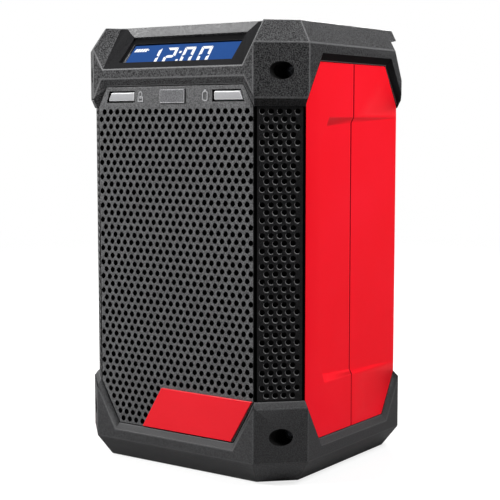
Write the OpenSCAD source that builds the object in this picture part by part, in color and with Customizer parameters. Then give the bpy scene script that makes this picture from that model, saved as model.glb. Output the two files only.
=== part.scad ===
// Jobsite radio: eight-sided housing with a perforated front, red side covers, two corner
// bumpers, a sloping display, a key panel on the top, and a slide-in battery pack at the rear.
// Millimetres, +Z up, the front faces -Y, origin on the floor under the middle of the body.

/* [Overall] */
// Height over everything
height = 262; // [250:1:280]
// Width between the red side covers' faces
body_w = 156; // [150:1:170]
// Depth from the front panel to the rear face
body_d = 144.6; // [140:0.1:160]
// Leg of the slanted body corners, along X and along Y
corner_leg = 20.7; // [19:0.1:22]
// How far the bumpers stand out from the body
bumper_over = 3; // [2.5:0.1:4]
// Flat land left along the bevelled rims of both bumpers
rim_land = 0.5; // [0.3:0.1:1]

/* [Housing] */
// Wall of the two housing halves
shell_wall = 3; // [2:0.1:3.4]
// Floor of the housing above the ground
housing_low = 12; // [11:0.5:14]
// Roof of the housing below the top of the radio
housing_drop = 20; // [19:0.5:22]
// Inner end of the long screws' driver holes behind the front panel's face
screw_seat = 21.3; // [20.5:0.1:22]
// Driver hole of a long screw
screw_access_d = 9.8; // [8.6:0.1:10]
// Distance of the long screws from the body's side face
screw_inset = 8.1; // [7.8:0.1:8.6]
// Height of the lower long screws
screw_low = 28.5; // [26:0.5:31]
// Distance of the upper long screws below the top
screw_drop = 28.2; // [27:0.1:30]

/* [Top bumper] */
// Lowest edge of the top bumper below the top
cap_h = 47.7; // [46:0.1:50]
// Height of its slanted lower rim
cap_rim = 4.6; // [3.5:0.1:6]
// Ridge round the bumper below the top
ridge_drop = 12.8; // [11:0.1:14]
// How far the slopes above the ridge lean in
top_inset = 8.3; // [7:0.1:9]
// Upper edge of the finger grip under the rear lip, below the top
grip_drop = 6.6; // [6:0.1:8]
// Height of the finger grip at the rear
grip_h = 24.4; // [22:0.1:25]
// Depth of the finger grip
grip_depth = 8.3; // [7:0.1:8.6]
// How far the rear lip stays inside the bumper's face
lip_inset = 3; // [2:0.1:4]

/* [Bottom bumper] */
// Upper edge of the bottom bumper
base_h = 48.5; // [46:0.1:52]
// Height of its slanted upper rim
base_rim = 3.6; // [3:0.1:5]
// Height of the slope under the bumper
base_slope = 13.5; // [12:0.1:15]
// How far that slope leans in
base_inset = 9.75; // [8:0.05:11]
// How far the feet stand out below the bumper
foot_proud = 0.8; // [0.5:0.1:1.5]
// Diameter of a foot
foot_d = 16; // [12:1:20]

/* [Front panel] */
// Thickness of the perforated panels
panel_t = 2; // [1.5:0.1:2.2]
// Thickness of the dust screen behind the front panel
screen_t = 0.6; // [0.4:0.1:0.8]
// Top edge of the panel below the top of the radio
panel_drop = 35.5; // [35:0.1:38]
// Height of the panel's slanted top ends
panel_top_rise = 12; // [10:0.1:14]
// How far the top ends lean in
panel_top_lean = 6.9; // [6:0.1:9]
// Bottom edge of the panel above the ground
panel_low = 23.3; // [22:0.1:26]
// Height of the panel's slanted bottom ends
panel_low_rise = 24.7; // [22:0.1:26]
// How far the bottom ends lean in
panel_low_lean = 14.1; // [12:0.1:16]
// Diameter of a hole
hole_d = 3.1; // [2.4:0.1:3.2]
// Distance between the holes of a row
hole_pitch = 5; // [4.6:0.1:6]
// Distance between the rows
row_pitch = 4.31; // [4:0.01:5]
// First row below the top of the radio
row_drop = 50.5; // [49:0.1:54]
// Holes in the longer rows of a corner strip
corner_holes = 5; // [3:1:5]
// Dark groove beside a corner strip
corner_groove = 1.7; // [1:0.1:3]

/* [Side covers] */
// Depth of the covers, from the body's face to the housing
cover_t = 5.5; // [5:0.1:6]
// Top edge of the covers below the top of the radio
cover_drop = 22.6; // [22:0.1:25]
// Height of their slanted top ends
cover_top_rise = 23.7; // [22:0.1:26]
// How far the top ends lean in
cover_top_lean = 14.5; // [12:0.1:16]
// Bottom edge of the covers above the ground
cover_low = 23.7; // [22:0.1:26]
// Height of their slanted bottom ends
cover_low_rise = 24.6; // [22:0.1:26]
// How far the bottom ends lean in
cover_low_lean = 14.7; // [12:0.1:16]
// Deepest point of the hand recess
recess_depth = 3; // [2:0.1:3.4]
// Front edge of the hand recess before the middle
recess_front = 35; // [30:0.5:38]
// Upper edge of the hand recess below the top
recess_drop = 53.7; // [52:0.1:70]
// Lower edge of the hand recess above the ground
recess_low = 55.3; // [54:0.1:70]
// Joint between the front and rear cover
cover_seam = 0.4; // [0.2:0.1:0.8]

/* [Plates and windows] */
// Thickness of the red lower plate
lower_plate_t = 1.2; // [0.8:0.1:2]
// Length of the red lower plate
lower_plate_w = 65.6; // [50:0.1:66]
// Height of the red lower plate
lower_plate_h = 25; // [22:0.1:25.4]
// Width of the small upper plate
upper_plate_w = 18.8; // [12:0.1:24]
// Height of the small upper plate
upper_plate_h = 8.4; // [6:0.1:9]
// Middle of the upper plate and the indicator windows below the top
badge_drop = 41.6; // [41:0.1:43]
// Width of an indicator window at its top edge
lens_w = 18.4; // [14:0.1:18.6]
// Height of an indicator window
lens_h = 5.2; // [4:0.1:5.6]
// Outer top end of an indicator window inside the panel's top corner
lens_inset = 2.4; // [2:0.1:4]
// Dark gap round an indicator window
lens_gap = 0.5; // [0.2:0.1:0.6]

/* [Display] */
// Front edge of the sloping display panel below the top
scoop_drop = 25.4; // [25:0.1:26.5]
// Length of that front edge
scoop_w = 102.4; // [98:0.1:104]
// Back edge of the slope below the top
band_drop = 5.8; // [5:0.1:7]
// Distance of the back edge of the slope from the bumper's front face
scoop_run = 18.5; // [17.5:0.1:19.5]
// Length of the back edge of the slope
band_w = 83.6; // [83:0.1:88]
// Wall under the slope
scoop_wall = 2.4; // [2:0.1:3]
// Width of the display opening
window_w = 83; // [81:0.1:83]
// Lower edge of the opening up the slope
window_start = 5.4; // [5:0.1:6]
// Height of the opening along the slope
window_h = 21.2; // [19:0.1:21.4]
// Bezel at the left of the visible display
bezel_left = 2.6; // [0.7:0.1:5]
// Bezel at the right of the visible display
bezel_right = 0.8; // [0.7:0.1:5]
// Bezel under the visible display
bezel_low = 0.9; // [0.7:0.1:1.2]
// Bezel over the visible display
bezel_top = 4.8; // [3:0.1:6]
// Thickness of the display panel
lcd_t = 3; // [2.5:0.1:4]

/* [Keys] */
// Columns of keys
key_columns = 5; // [2:1:5]
// Distance between the columns
key_pitch = 18; // [17.5:0.1:19]
// Distance between the two rows
key_row = 18; // [15:0.1:20]
// Width of a key
key_w = 14; // [10:0.1:14.4]
// Depth of a key
key_d = 10; // [7:0.1:11]
// Travel of a key
key_travel = 0.8; // [0.5:0.1:1]
// Width of the key panel
key_panel_w = 104; // [100:1:108]
// Depth of the key panel
key_panel_d = 48; // [46:1:54]
// Middle of the key panel behind the middle of the body
key_panel_y = 6; // [0:1:10]

/* [Speaker] */
// Height of the speaker's axis
speaker_z = 130; // [128:1:135]
// Opening in the housing in front of the cone
speaker_hole_d = 78; // [77:0.5:80]
// Flange of the speaker frame
speaker_flange_d = 96; // [94:1:100]
// Circle of the four speaker screws
speaker_screw_circle = 89; // [88:0.5:91]
// Depth of the frame behind its flange
speaker_frame_h = 26; // [25:0.5:28]
// Diameter of the magnet
magnet_d = 60; // [56:1:66]
// Thickness of the magnet
magnet_h = 14; // [10:1:15]
// Thickness of the iron plates at both ends of the magnet
iron_t = 4; // [3:0.5:5]
// Diameter of the pole in the middle of the yoke
pole_d = 18.6; // [17:0.1:18.8]
// Outer diameter of the cone
cone_d = 69; // [64:0.5:69]

/* [Battery] */
// Height of the battery pack's axis
pack_z = 91; // [90:1:94]
// Diameter of a cell
cell_d = 18.4; // [18:0.1:18.6]
// Length of a cell
cell_l = 65; // [60:1:66]
// Distance between the cells' axes
cell_pitch = 19; // [18.8:0.1:19.4]
// Wall of the pack
pack_wall = 1.7; // [1.2:0.1:2]
// Length of the pack's stem
stem_l = 55; // [50:1:57]
// Width of the pack's base
pack_base_w = 52; // [48:1:54]
// Height of the pack's base
pack_base_h = 46; // [44:1:46]
// Depth of the pack's base
pack_base_d = 23.4; // [20:0.1:24]
// Width of the finger well at each side of the base
finger_w = 16; // [14:0.5:17]
// Wall of the battery bay
bay_wall = 2; // [1.5:0.1:2.5]
// Travel of a latch button
latch_travel = 2; // [1:0.1:2.5]

/* [Ports] */
// Middle height of the port door
port_z = 165; // [163:1:170]
// Width of the port door
door_w = 64; // [60:1:70]
// Height of the port door
door_h = 27; // [24:1:30]
// Thickness of the port door
door_t = 2.4; // [1.6:0.1:2.6]
// Diameter of the door's hinge pin
hinge_d = 2; // [1.6:0.1:2.2]

/* [Fits] */
// Clearance between housing and bumpers, and round seated pieces
fit = 0.2; // [0.1:0.05:0.3]
// Clearance round pieces that move
run = 0.3; // [0.2:0.05:0.4]

/* [Hidden] */

$fn = 64;
// Large size for cutting blocks
reach = 600;
root2 = sqrt(2);

// Body: distances of its faces from the middle
side = body_w / 2;
front = body_d / 2;
corner = (side + front - corner_leg) / root2;
// Edge of the front face and of the side face at a slanted corner
front_edge = side - corner_leg;
side_edge = front - corner_leg;

// Housing under the panels and covers
inner_side = side - cover_t;
inner_front = front - panel_t - screen_t;
inner_corner = corner - panel_t;
mitre = side - side_edge;
roof = height - housing_drop;
front_wall_back = -inner_front + shell_wall;

// Bumpers
out_side = side + bumper_over;
out_front = front + bumper_over;
out_corner = corner + bumper_over;
rim_inset = bumper_over - fit - rim_land;
// How far the bottom bumper's inner rim and the feet's middles stand in from the faces
base_rim_w = 22;
foot_in = 26;
cap_low = height - cap_h;
ridge = height - ridge_drop;
grip_top = height - grip_drop;
grip_low = grip_top - grip_h;
chamber_top = height - 4;
chamber_side = side - 12;
chamber_front = out_front - 4;
chamber_rear = out_front - grip_depth - 3.5;

// Slope of the display: frame of its front edge, with its angle
slope_rise = scoop_drop - band_drop;
slope_angle = atan2(slope_rise, scoop_run);
slope_edge = [0, -out_front, height - scoop_drop];
shell_slope = 10;
view_w = window_w - bezel_left - bezel_right;
view_shift = (bezel_left - bezel_right) / 2;
view_h = window_h - bezel_low - bezel_top;
view_start = window_start + bezel_low;
// Corner points of the scoop, right side: front edge, ridge, back edge and top edge
point_c = [scoop_w / 2, -out_front, height - scoop_drop];
point_d = [out_side - (out_side + out_front - out_corner * root2), -out_front, ridge];
point_e = [band_w / 2, scoop_run - out_front, height - band_drop];
point_h = [band_w / 2 + 7, scoop_run - out_front + 1.6, height];
facet_normal = cross(point_e - point_c, point_h - point_c);
facet_top_x = band_w / 2 + 10.5;
point_g = [
    facet_top_x,
    point_c.y - (facet_normal.x * (facet_top_x - point_c.x)
        + facet_normal.z * (height - point_c.z)) / facet_normal.y,
    height
];

// Outline corners of panel and covers, half width and height
panel_half = front_edge - 0.4;
panel_top = [panel_half - panel_top_lean, height - panel_drop];
panel_top_shoulder = [panel_half, height - panel_drop - panel_top_rise];
panel_bottom = [panel_half - panel_low_lean, panel_low];
panel_low_shoulder = [panel_half, panel_low + panel_low_rise];
lens_start = panel_top.x - lens_inset - lens_w;
cover_half = side_edge - 0.1;
cover_top = [cover_half - cover_top_lean, height - cover_drop];
cover_top_shoulder = [cover_half, height - cover_drop - cover_top_rise];
cover_bottom = [cover_half - cover_low_lean, cover_low];
cover_low_shoulder = [cover_half, cover_low + cover_low_rise];
// How far the bumpers' notches flare towards their outer face, sideways and up or down
cap_flare = [2.4, 4.5];
base_flare = [1.4, 4];

// Long screws
screw_x = side - screw_inset;
screw_y = screw_seat - front;
screw_d = 3.5;
screw_head_d = 7.4;
screw_head_h = 3;
screw_grip = 12;
boss_d = 9;

// Speaker
ring_t = 3;
speaker_y = front_wall_back + ring_t;
flange_t = 3;
pole_r = pole_d / 2;
coil_r = pole_r + 0.45;
coil_t = 0.8;
gap_r = coil_r + coil_t + 0.55;
cone_r = cone_d / 2;
neck_t = speaker_frame_h - 11;
motor_end = speaker_frame_h + iron_t + magnet_h + iron_t;

// Battery
cell_ring = cell_pitch / sqrt(3);
stem_r = cell_d / 2 + 0.1 + pack_wall;
pocket_d = 22;
pocket_floor = front - pocket_d;
pack_seat = pocket_floor + run;
stem_end = pack_seat - stem_l;
bay_half = pack_base_w / 2 + finger_w;
bay_h = pack_base_h + 3;
tunnel_gap = 0.4;
latch_h = 20;
latch_d = 12;
latch_proud = latch_travel + 0.5;
blade_x = [-9, -3, 3, 9];

// Keys
key_low = chamber_top + 1.6;
key_panel_t = 1.6;
key_ledge = 3;
key_top = height - 0.1;
flange_over = 1.2;
key_board_top = chamber_top - 6.2;
key_stem_low = key_board_top + 2.2;
key_rows = [key_panel_y + key_row / 2, key_panel_y - key_row / 2];
key_board_w = key_panel_w + 8;
key_board_d = 40;

// Ports and main board
door_low = port_z - door_h / 2;
hinge_z = door_low - 2;
hinge_y = front - 1.4;
knuckle_r = hinge_d / 2 + 1.1;
door_back = front - door_t - 0.1;
// Gap under the door where its lower corners swing
door_relief = 0.7;
port_floor = front - 12.3;
port_floor_t = 2;
port_half = door_w / 2 - 2;
board_t = 1.6;
board_y = port_floor - port_floor_t - 6;
board_w = 104;
board_h = 64;
board_boss_d = 7;
board_post = [board_w / 2 - 5, board_h / 2 - 5];
// Heat sink of the amplifier: an odd number of fins and slots of one width
sink_slots = 4;
sink_slot = 2;
sink_w = (2 * sink_slots + 1) * sink_slot;
sink_x = board_w / 2 - 12 - sink_w;
sink_h = 12;
sink_l = 28;

// ---------------------------------------------------------------- helpers

// Everything behind a plane through a point, looking along its normal
module half_space(point, normal) {
    translate(point)
        rotate([0, acos(normal.z / norm(normal)), atan2(normal.y, normal.x)])
            translate([-reach / 2, -reach / 2, -reach]) cube(reach);
}

// Normal of the plane through three points that looks away from an inside point
function outward(a, b, c, inside) =
    let (n = cross(b - a, c - a)) (n * (inside - a) > 0 ? -n : n);

// The side of a plane through three points on which an inside point lies
module side_of(a, b, c, inside) half_space(a, outward(a, b, c, inside));

// Slanted plane on the face that looks along an angle: at z_edge it is at a distance from the
// middle, and at z_end it has leaned in
module lean(angle, distance, z_edge, z_end, inset, flip = 1) {
    rise = abs(z_end - z_edge);
    half_space(
        [cos(angle) * distance, sin(angle) * distance, z_edge],
        flip * [cos(angle) * rise, sin(angle) * rise, inset * sign(z_end - z_edge)]
    );
}

// Box from its lowest to its highest corner
module block(low, high) translate(low) cube(high - low);

// Shape in X and Z, extruded from one depth to another
module along_y(y_low, y_high)
    translate([0, y_high, 0]) rotate([90, 0, 0]) linear_extrude(y_high - y_low) children();

// Shape in Y and Z, extruded from one X to another
module along_x(x_low, x_high)
    translate([x_low, 0, 0]) rotate([90, 0, 90]) linear_extrude(x_high - x_low) children();

// Shape in X and Y, extruded from one height to another
module along_z(z_low, z_high) translate([0, 0, z_low]) linear_extrude(z_high - z_low) children();

// Round bar along Y
module bar_y(x, z, y_low, y_high, d)
    translate([x, y_low, z]) rotate([-90, 0, 0]) cylinder(d = d, h = y_high - y_low);

// Round bar along X
module bar_x(y, z, x_low, x_high, d)
    translate([x_low, y, z]) rotate([0, 90, 0]) cylinder(d = d, h = x_high - x_low);

// Rectangle with round corners round the middle
module rounded(w, h, r) {
    square([w - 2 * r, h], center = true);
    square([w, h - 2 * r], center = true);
    for (x = [-1, 1], y = [-1, 1]) translate([x * (w / 2 - r), y * (h / 2 - r)]) circle(r);
}

module both_sides() {
    children();
    mirror([1, 0, 0]) children();
}

// Outline from its right half, from front to back
function mirrored(right) = concat(right, [for (i = [len(right) - 1:-1:0]) [-right[i].x, right[i].y]]);

// Outline of the bumpers: the body's eight sides, grown
module octagon(grow) {
    sum = (corner + grow) * root2;
    polygon(mirrored([
        [sum - front - grow, -front - grow],
        [side + grow, side + grow - sum],
        [side + grow, sum - side - grow],
        [sum - front - grow, front + grow],
    ]));
}

// Outline of the housing under its panels and covers, grown or shrunk.
// The four ears hold the edges of the covers and end on the slanted corners.
module housing_outline(grow) {
    front_sum = (inner_corner + grow) * root2;
    rear_sum = (corner + grow) * root2;
    ear = mitre + grow * root2;
    w = inner_side + grow;
    polygon(mirrored([
        [front_sum - inner_front - grow, -inner_front - grow],
        [(front_sum + ear) / 2, (ear - front_sum) / 2],
        [w, ear - w],
        [w, w - ear],
        [(rear_sum + ear) / 2, (rear_sum - ear) / 2],
        [rear_sum - front - grow, front + grow],
    ]));
}

// Outline with a straight middle and slanted ends, given by the half widths and heights
module tapered_panel(top, top_shoulder, low_shoulder, bottom, grow = 0)
    polygon(mirrored([
        [bottom.x + grow, bottom.y - grow],
        [low_shoulder.x + grow, low_shoulder.y],
        [top_shoulder.x + grow, top_shoulder.y],
        [top.x + grow, top.y + grow],
    ]));

module panel_outline(grow = 0)
    tapered_panel(panel_top, panel_top_shoulder, panel_low_shoulder, panel_bottom, grow);

module cover_outline(grow = 0)
    tapered_panel(cover_top, cover_top_shoulder, cover_low_shoulder, cover_bottom, grow);

// Place in the frame of the display slope: X across, Y up the slope, Z out of it
module on_slope() translate(slope_edge) rotate([slope_angle, 0, 0]) children();

// Places of the four posts of the main board
module at_board_posts()
    for (x = [-1, 1], z = [-1, 1])
        translate([x * board_post.x, 0, port_z + z * board_post.y]) children();

// Everything deeper than a depth under the slope
module under_slope(depth)
    on_slope() translate([-reach / 2, -reach / 2, -reach - depth]) cube(reach);

// Everything behind a slanted rear face of the housing that clears the finger grip
module under_grip(shrink)
    for (angle = [45, 90, 135])
        lean(angle, (angle == 90 ? front : corner) + 0.2 - shrink,
            grip_low - 1, grip_top - 1, grip_depth, -1);

// Places of the four long screws
module at_screws()
    for (x = [-screw_x, screw_x], z = [screw_low, height - screw_drop]) translate([x, 0, z]) children();

// ---------------------------------------------------------------- bumpers

// Flared notch over a panel at the front: inner corner, inner shoulder, flare
module notch(edge, shoulder, flare, depth) {
    flip = sign(edge.y - shoulder.y);
    inner = [edge.x, -depth, edge.y];
    inner_shoulder = [shoulder.x, -depth, shoulder.y];
    outer = [edge.x + flare.x, -depth - bumper_over, edge.y + flip * flare.y];
    middle = [0, -depth, shoulder.y];
    intersection() {
        block([-reach, -depth - 2 * bumper_over, 0], [reach, -depth, height]);
        side_of(inner, [0, -depth, edge.y], outer, middle);
        side_of(inner, inner_shoulder, outer, middle);
        mirror([1, 0, 0]) side_of(inner, inner_shoulder, outer, middle);
    }
}

// Room for the front panel and the side covers in a bumper
module panel_room(front_edge_point, front_shoulder, side_edge_point, side_shoulder, flare) {
    notch(front_edge_point, front_shoulder, flare, front);
    along_y(-front - fit, -inner_front) panel_outline(fit);
    both_sides() {
        rotate([0, 0, 90]) notch(side_edge_point, side_shoulder, flare, side);
        along_x(inner_side, side + fit) cover_outline(fit);
    }
}

// Outer form of the top bumper before the display, the notches and the inside are cut
module cap_block() {
    difference() {
        along_z(cap_low, height) octagon(bumper_over);
        lean(270, out_front, ridge, height, top_inset, -1);
        for (angle = [225, 315]) lean(angle, out_corner, ridge, height, top_inset, -1);
        for (angle = [0, 180]) {
            lean(angle, out_side, ridge, height, top_inset, -1);
            lean(angle, out_side, cap_low + cap_rim, cap_low, rim_inset, -1);
        }
        for (angle = [90, 270]) lean(angle, out_front, cap_low + cap_rim, cap_low, rim_inset, -1);
        for (angle = [45:90:315]) lean(angle, out_corner, cap_low + cap_rim, cap_low, rim_inset, -1);
        lean(90, out_front - lip_inset, grip_top, height, 2, -1);
        for (angle = [45, 135]) lean(angle, out_corner - lip_inset, grip_top, height, 2, -1);
    }
}

// Finger grip under the rear lip, over the rear face and both rear corners
module grip_cut()
    intersection() {
        block([-reach, -reach, grip_low], [reach, reach, grip_top]);
        union() {
            lean(90, out_front, grip_low, grip_top, grip_depth, -1);
            for (angle = [45, 135]) lean(angle, out_corner, grip_low, grip_top, grip_depth, -1);
        }
    }

// Room of the sloping display panel: slope, back band and two flared side walls
module scoop()
    intersection() {
        block([-reach, -reach, cap_low], [reach, 0, height + 1]);
        half_space(point_c, [0, slope_rise, -scoop_run]);
        half_space(point_e, [0, height - point_e.z, point_e.y - point_h.y]);
        intersection_for (flip = [0, 1]) mirror([flip, 0, 0]) intersection() {
            side_of(point_c, point_e, point_h, [0, -front, height]);
            side_of(point_c, point_d, point_g, [0, -front, height]);
        }
    }

// Room inside the top bumper for the housing and for the display and key board above it
module cap_inside() {
    difference() {
        along_z(cap_low - 1, roof) housing_outline(fit);
        under_slope_cut(shell_slope);
        under_grip(-fit);
    }
    intersection() {
        along_z(panel_top.y + fit, chamber_top)
            polygon(mirrored([
                [chamber_side - 8, -chamber_front],
                [chamber_side, 8 - chamber_front],
                [chamber_side, chamber_rear - 12],
                [chamber_side - 12, chamber_rear],
            ]));
        under_slope(scoop_wall);
        union() {
            block([-reach, -reach, roof - 1], [reach, reach, height]);
            block([-reach, -reach, 0], [reach, 0, height]);
        }
    }
}

module top_bumper()
    color("dimgray") {
        difference() {
            cap_block();
            grip_cut();
            scoop();
            cap_inside();
            panel_room(panel_top, panel_top_shoulder, cover_top, cover_top_shoulder, cap_flare);
            on_slope() window_prism(window_w, window_start, window_h, -scoop_wall - 1, 1);
            along_z(key_low, height + 1) translate([0, key_panel_y])
                rounded(key_panel_w + 2 * fit, key_panel_d + 2 * fit, 4);
            along_z(chamber_top - 1, key_low + 1) translate([0, key_panel_y])
                rounded(key_panel_w - 2 * key_ledge, key_panel_d - 2 * key_ledge, 3);
            at_screws() bar_y(0, 0, -reach, screw_y, screw_access_d);
        }
        for (x = [-1, 1], y = [-1, 1])
            along_z(key_board_top, chamber_top + 0.5)
                translate([x * (key_board_w / 2 - 3), key_panel_y + y * (key_board_d / 2 - 4)])
                    circle(d = 5);
    }

// Outer form of the bottom bumper before its notches and its inside are cut
module base_block()
    difference() {
        along_z(foot_proud, base_h) octagon(bumper_over);
        for (angle = [0:45:315]) {
            distance = angle % 90 == 45 ? out_corner : angle % 180 == 0 ? out_side : out_front;
            lean(angle, distance, base_slope, 0, base_inset, -1);
            lean(angle, distance, base_h - base_rim, base_h, rim_inset, -1);
        }
    }

module bottom_bumper()
    color("dimgray")
    difference() {
        base_block();
        along_z(housing_low, base_h + 1) housing_outline(fit);
        along_z(housing_low - 6, housing_low + 1)
            square([2 * (side - base_rim_w), 2 * (front - base_rim_w)], center = true);
        panel_room(panel_bottom, panel_low_shoulder, cover_bottom, cover_low_shoulder, base_flare);
        at_screws() bar_y(0, 0, -reach, screw_y, screw_access_d);
        at_feet() along_z(-1, foot_proud + 2) circle(d = foot_d + 2 * fit);
    }

// Places of the four feet
module at_feet()
    for (x = [-1, 1], y = [-1, 1]) translate([x * (side - foot_in), y * (front - foot_in), 0]) children();

module feet()
    color("black") at_feet() along_z(0, foot_proud + 2) circle(d = foot_d);

// ---------------------------------------------------------------- housing

// Outer form of both housing halves
module housing_block(shrink)
    difference() {
        along_z(housing_low + shrink, roof - shrink) housing_outline(-shrink);
        under_slope_cut(shell_slope + shrink);
        under_grip(shrink);
    }

// Everything above a plane parallel to the display slope, in the front half
module under_slope_cut(depth)
    intersection() {
        block([-reach, -reach, 0], [reach, 0, reach]);
        on_slope() translate([-reach / 2, -reach / 2, -depth]) cube(reach);
    }

// Half of the housing before its openings are cut, with its corner bosses
module housing_half(y_low, y_high, boss_low, boss_high) {
    difference() {
        intersection() {
            housing_block(0);
            block([-reach, y_low, 0], [reach, y_high, height]);
        }
        housing_block(shell_wall);
    }
    intersection() {
        at_screws() bar_y(0, 0, boss_low, boss_high, boss_d);
        housing_block(1);
    }
}

module front_shell()
    color("black")
    difference() {
        union() {
            housing_half(-reach, 0, screw_y, 0);
            intersection() {
                at_screws() bar_y(0, 0, -front, screw_y + 2, screw_access_d + 4);
                housing_block(1);
                block([-reach, -reach, 0], [reach, 0, height]);
            }
            bar_y(0, speaker_z, front_wall_back - 1, speaker_y, speaker_flange_d);
            for (x = [-1, 1]) bar_y(x * (lens_start + lens_w / 2), height - badge_drop - lens_h / 2 - 4,
                front_wall_back - 1, front_wall_back + 1.2, 4);
        }
        at_screws() {
            bar_y(0, 0, -reach, screw_y, screw_access_d);
            bar_y(0, 0, -reach, 1, screw_d + 2 * fit);
        }
        bar_y(0, speaker_z, -reach, speaker_y + 1, speaker_hole_d);
        at_speaker_screws() bar_y(0, 0, -inner_front + 1, speaker_y + 1, speaker_screw_d);
        along_y(-front - 1, front_wall_back + 1) lens_pair(fit);
    }

module rear_shell()
    color("black")
    difference() {
        union() {
            housing_half(0, reach, 0, screw_grip + 2);
            at_board_posts() bar_y(0, 0, board_y + board_t, front - 1, board_boss_d);
            intersection() {
                along_y(port_floor - port_floor_t, front - 1)
                    translate([0, port_z - 1]) square([door_w + 10, door_h + 12], center = true);
                block([-reach, 0, 0], [reach, front, roof]);
            }
        }
        at_screws() bar_y(0, 0, -1, screw_grip, screw_d);
        at_board_posts() bar_y(0, 0, board_y - 1, board_y + board_t + 6, board_screw_d);
        along_y(-1, front + 1) translate([0, pack_z])
            square([2 * bay_half + 2 * bay_wall, bay_h + 2 * bay_wall], center = true);
        // Recess of the door, room for the plugs, knuckle groove and the three sockets
        along_y(door_back, front + 1) translate([0, port_z - door_relief / 2])
            square([door_w + 2 * run, door_h + 2 * run + door_relief], center = true);
        along_y(port_floor, front + 1) translate([0, port_z])
            square([2 * port_half, door_h - 4], center = true);
        block([-port_half - run, hinge_y - knuckle_r - run, hinge_z - knuckle_r - run],
            [port_half + run, front + 1, door_low + 1]);
        bar_x(hinge_y, hinge_z, -port_half - 3, port_half + 3, hinge_d);
        along_y(-1, port_floor + 1) socket_outlines(fit);
    }

// ---------------------------------------------------------------- outside panels

// Red cover of the right side, both halves, with its stepped hand recess
module side_cover(y_low, y_high)
    color("crimson")
    difference() {
        intersection() {
            along_x(inner_side, side) cover_outline();
            block([-reach, y_low, 0], [reach, y_high, height]);
            half_space([side, -side_edge, 0], [-1, -1, 0]);
            half_space([side, side_edge, 0], [-1, 1, 0]);
        }
        hand_recess();
    }

// The recess is deepest at its front edge and runs out flush at the rear edge
module hand_recess() {
    floor_x = side - recess_depth;
    top_z = height - recess_drop;
    top_fall = 5.5;
    low_rise = 4.7;
    lead = 5.3;
    intersection() {
        half_space([floor_x, -recess_front, 0], [-side_edge - recess_front, recess_depth, 0]);
        half_space([side, 0, top_z], [-top_fall, 0, recess_depth]);
        half_space([side, 0, recess_low], [-low_rise, 0, -recess_depth]);
        half_space([floor_x, -recess_front, 0], [-0.3, -1, 0]);
        side_of([floor_x, -recess_front, top_z - 2.4 * top_fall],
            [floor_x, lead - recess_front, top_z - top_fall],
            [side, lead - recess_front - 0.8, top_z - top_fall], [floor_x, 0, recess_low]);
        side_of([floor_x, -recess_front, recess_low + 2.7 * low_rise],
            [floor_x, lead - recess_front, recess_low],
            [side, lead - recess_front - 0.8, recess_low], [floor_x, 0, top_z]);
    }
}

module right_front_cover() side_cover(-reach, -cover_seam / 2);
module right_rear_cover() side_cover(cover_seam / 2, reach);
module left_front_cover() mirror([1, 0, 0]) side_cover(-reach, -cover_seam / 2);
module left_rear_cover() mirror([1, 0, 0]) side_cover(cover_seam / 2, reach);

// Half width of the front panel at a height, where a hole may stand
function half_at(z) = z > panel_low_shoulder.y ? panel_half
    : panel_bottom.x + (z - panel_low) * panel_low_lean / panel_low_rise;
// Left edge of the lower plate at a height, and its lean
plate_lean = 14.8;
plate_low = panel_low + 0.5;
plate_right = panel_bottom.x - 1.2;
function plate_left(z) = plate_right - lower_plate_w + (z - plate_low) * plate_lean / lower_plate_h;
hole_edge = hole_d / 2 + 0.3;
function hole_is_free(x, z) =
    abs(x) <= half_at(z) - hole_edge - (z > panel_low_shoulder.y ? 0 : 0.6)
    && (x < plate_left(z) - hole_edge - 0.4 || z > plate_low + lower_plate_h + hole_edge);

module front_grille()
    color("gray")
    along_y(-front, panel_t - front)
    difference() {
        panel_outline();
        hole_rows = floor((height - row_drop - panel_low - hole_edge) / row_pitch);
        across = ceil(panel_half / hole_pitch);
        for (row = [0:hole_rows], i = [-across:across]) {
            x = (i + (row % 2 == 0 ? 0.5 : 0)) * hole_pitch;
            z = height - row_drop - row * row_pitch;
            if (hole_is_free(x, z)) translate([x, z]) circle(d = hole_d);
        }
        lens_pair(lens_gap);
    }

// Black perforated strip on the slanted front corner, right side
module corner_grille() {
    strip_half = corner_leg * root2 / 2 - corner_groove;
    centre = (front_edge + side - front - side_edge) / 2 / root2;
    strip_top = cap_low - fit;
    strip_low = base_h + fit;
    strip_rows = floor((height - row_drop - strip_low - hole_edge) / row_pitch);
    rotate([0, 0, 45]) along_y(-corner, panel_t - corner)
        difference() {
            translate([centre - strip_half, strip_low]) square([2 * strip_half, strip_top - strip_low]);
            for (row = [0:strip_rows], i = [0:corner_holes - 1 - row % 2])
                translate([
                    centre + (i - (corner_holes - 1 - row % 2) / 2) * hole_pitch,
                    height - row_drop - row * row_pitch
                ]) circle(d = hole_d);
        }
}

module right_corner_grille() color("black") corner_grille();
module left_corner_grille() color("black") mirror([1, 0, 0]) corner_grille();

module dust_screen()
    color("black")
    along_y(panel_t - front, -inner_front)
    difference() {
        panel_outline(-0.4);
        lens_pair(lens_gap);
    }

// Bare red plate at the panel's lower right, a slanted four-sided form
module lower_plate()
    color("crimson")
    along_y(-front - lower_plate_t, -front)
    polygon([
        [plate_right - lower_plate_w, plate_low],
        [plate_right, plate_low],
        [plate_right + plate_lean, plate_low + lower_plate_h],
        [plate_right + plate_lean - lower_plate_w, plate_low + lower_plate_h],
    ]);

module upper_plate()
    color("silver")
    along_y(-front - 0.6, -front)
    translate([0, height - badge_drop]) square([upper_plate_w, upper_plate_h], center = true);

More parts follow.
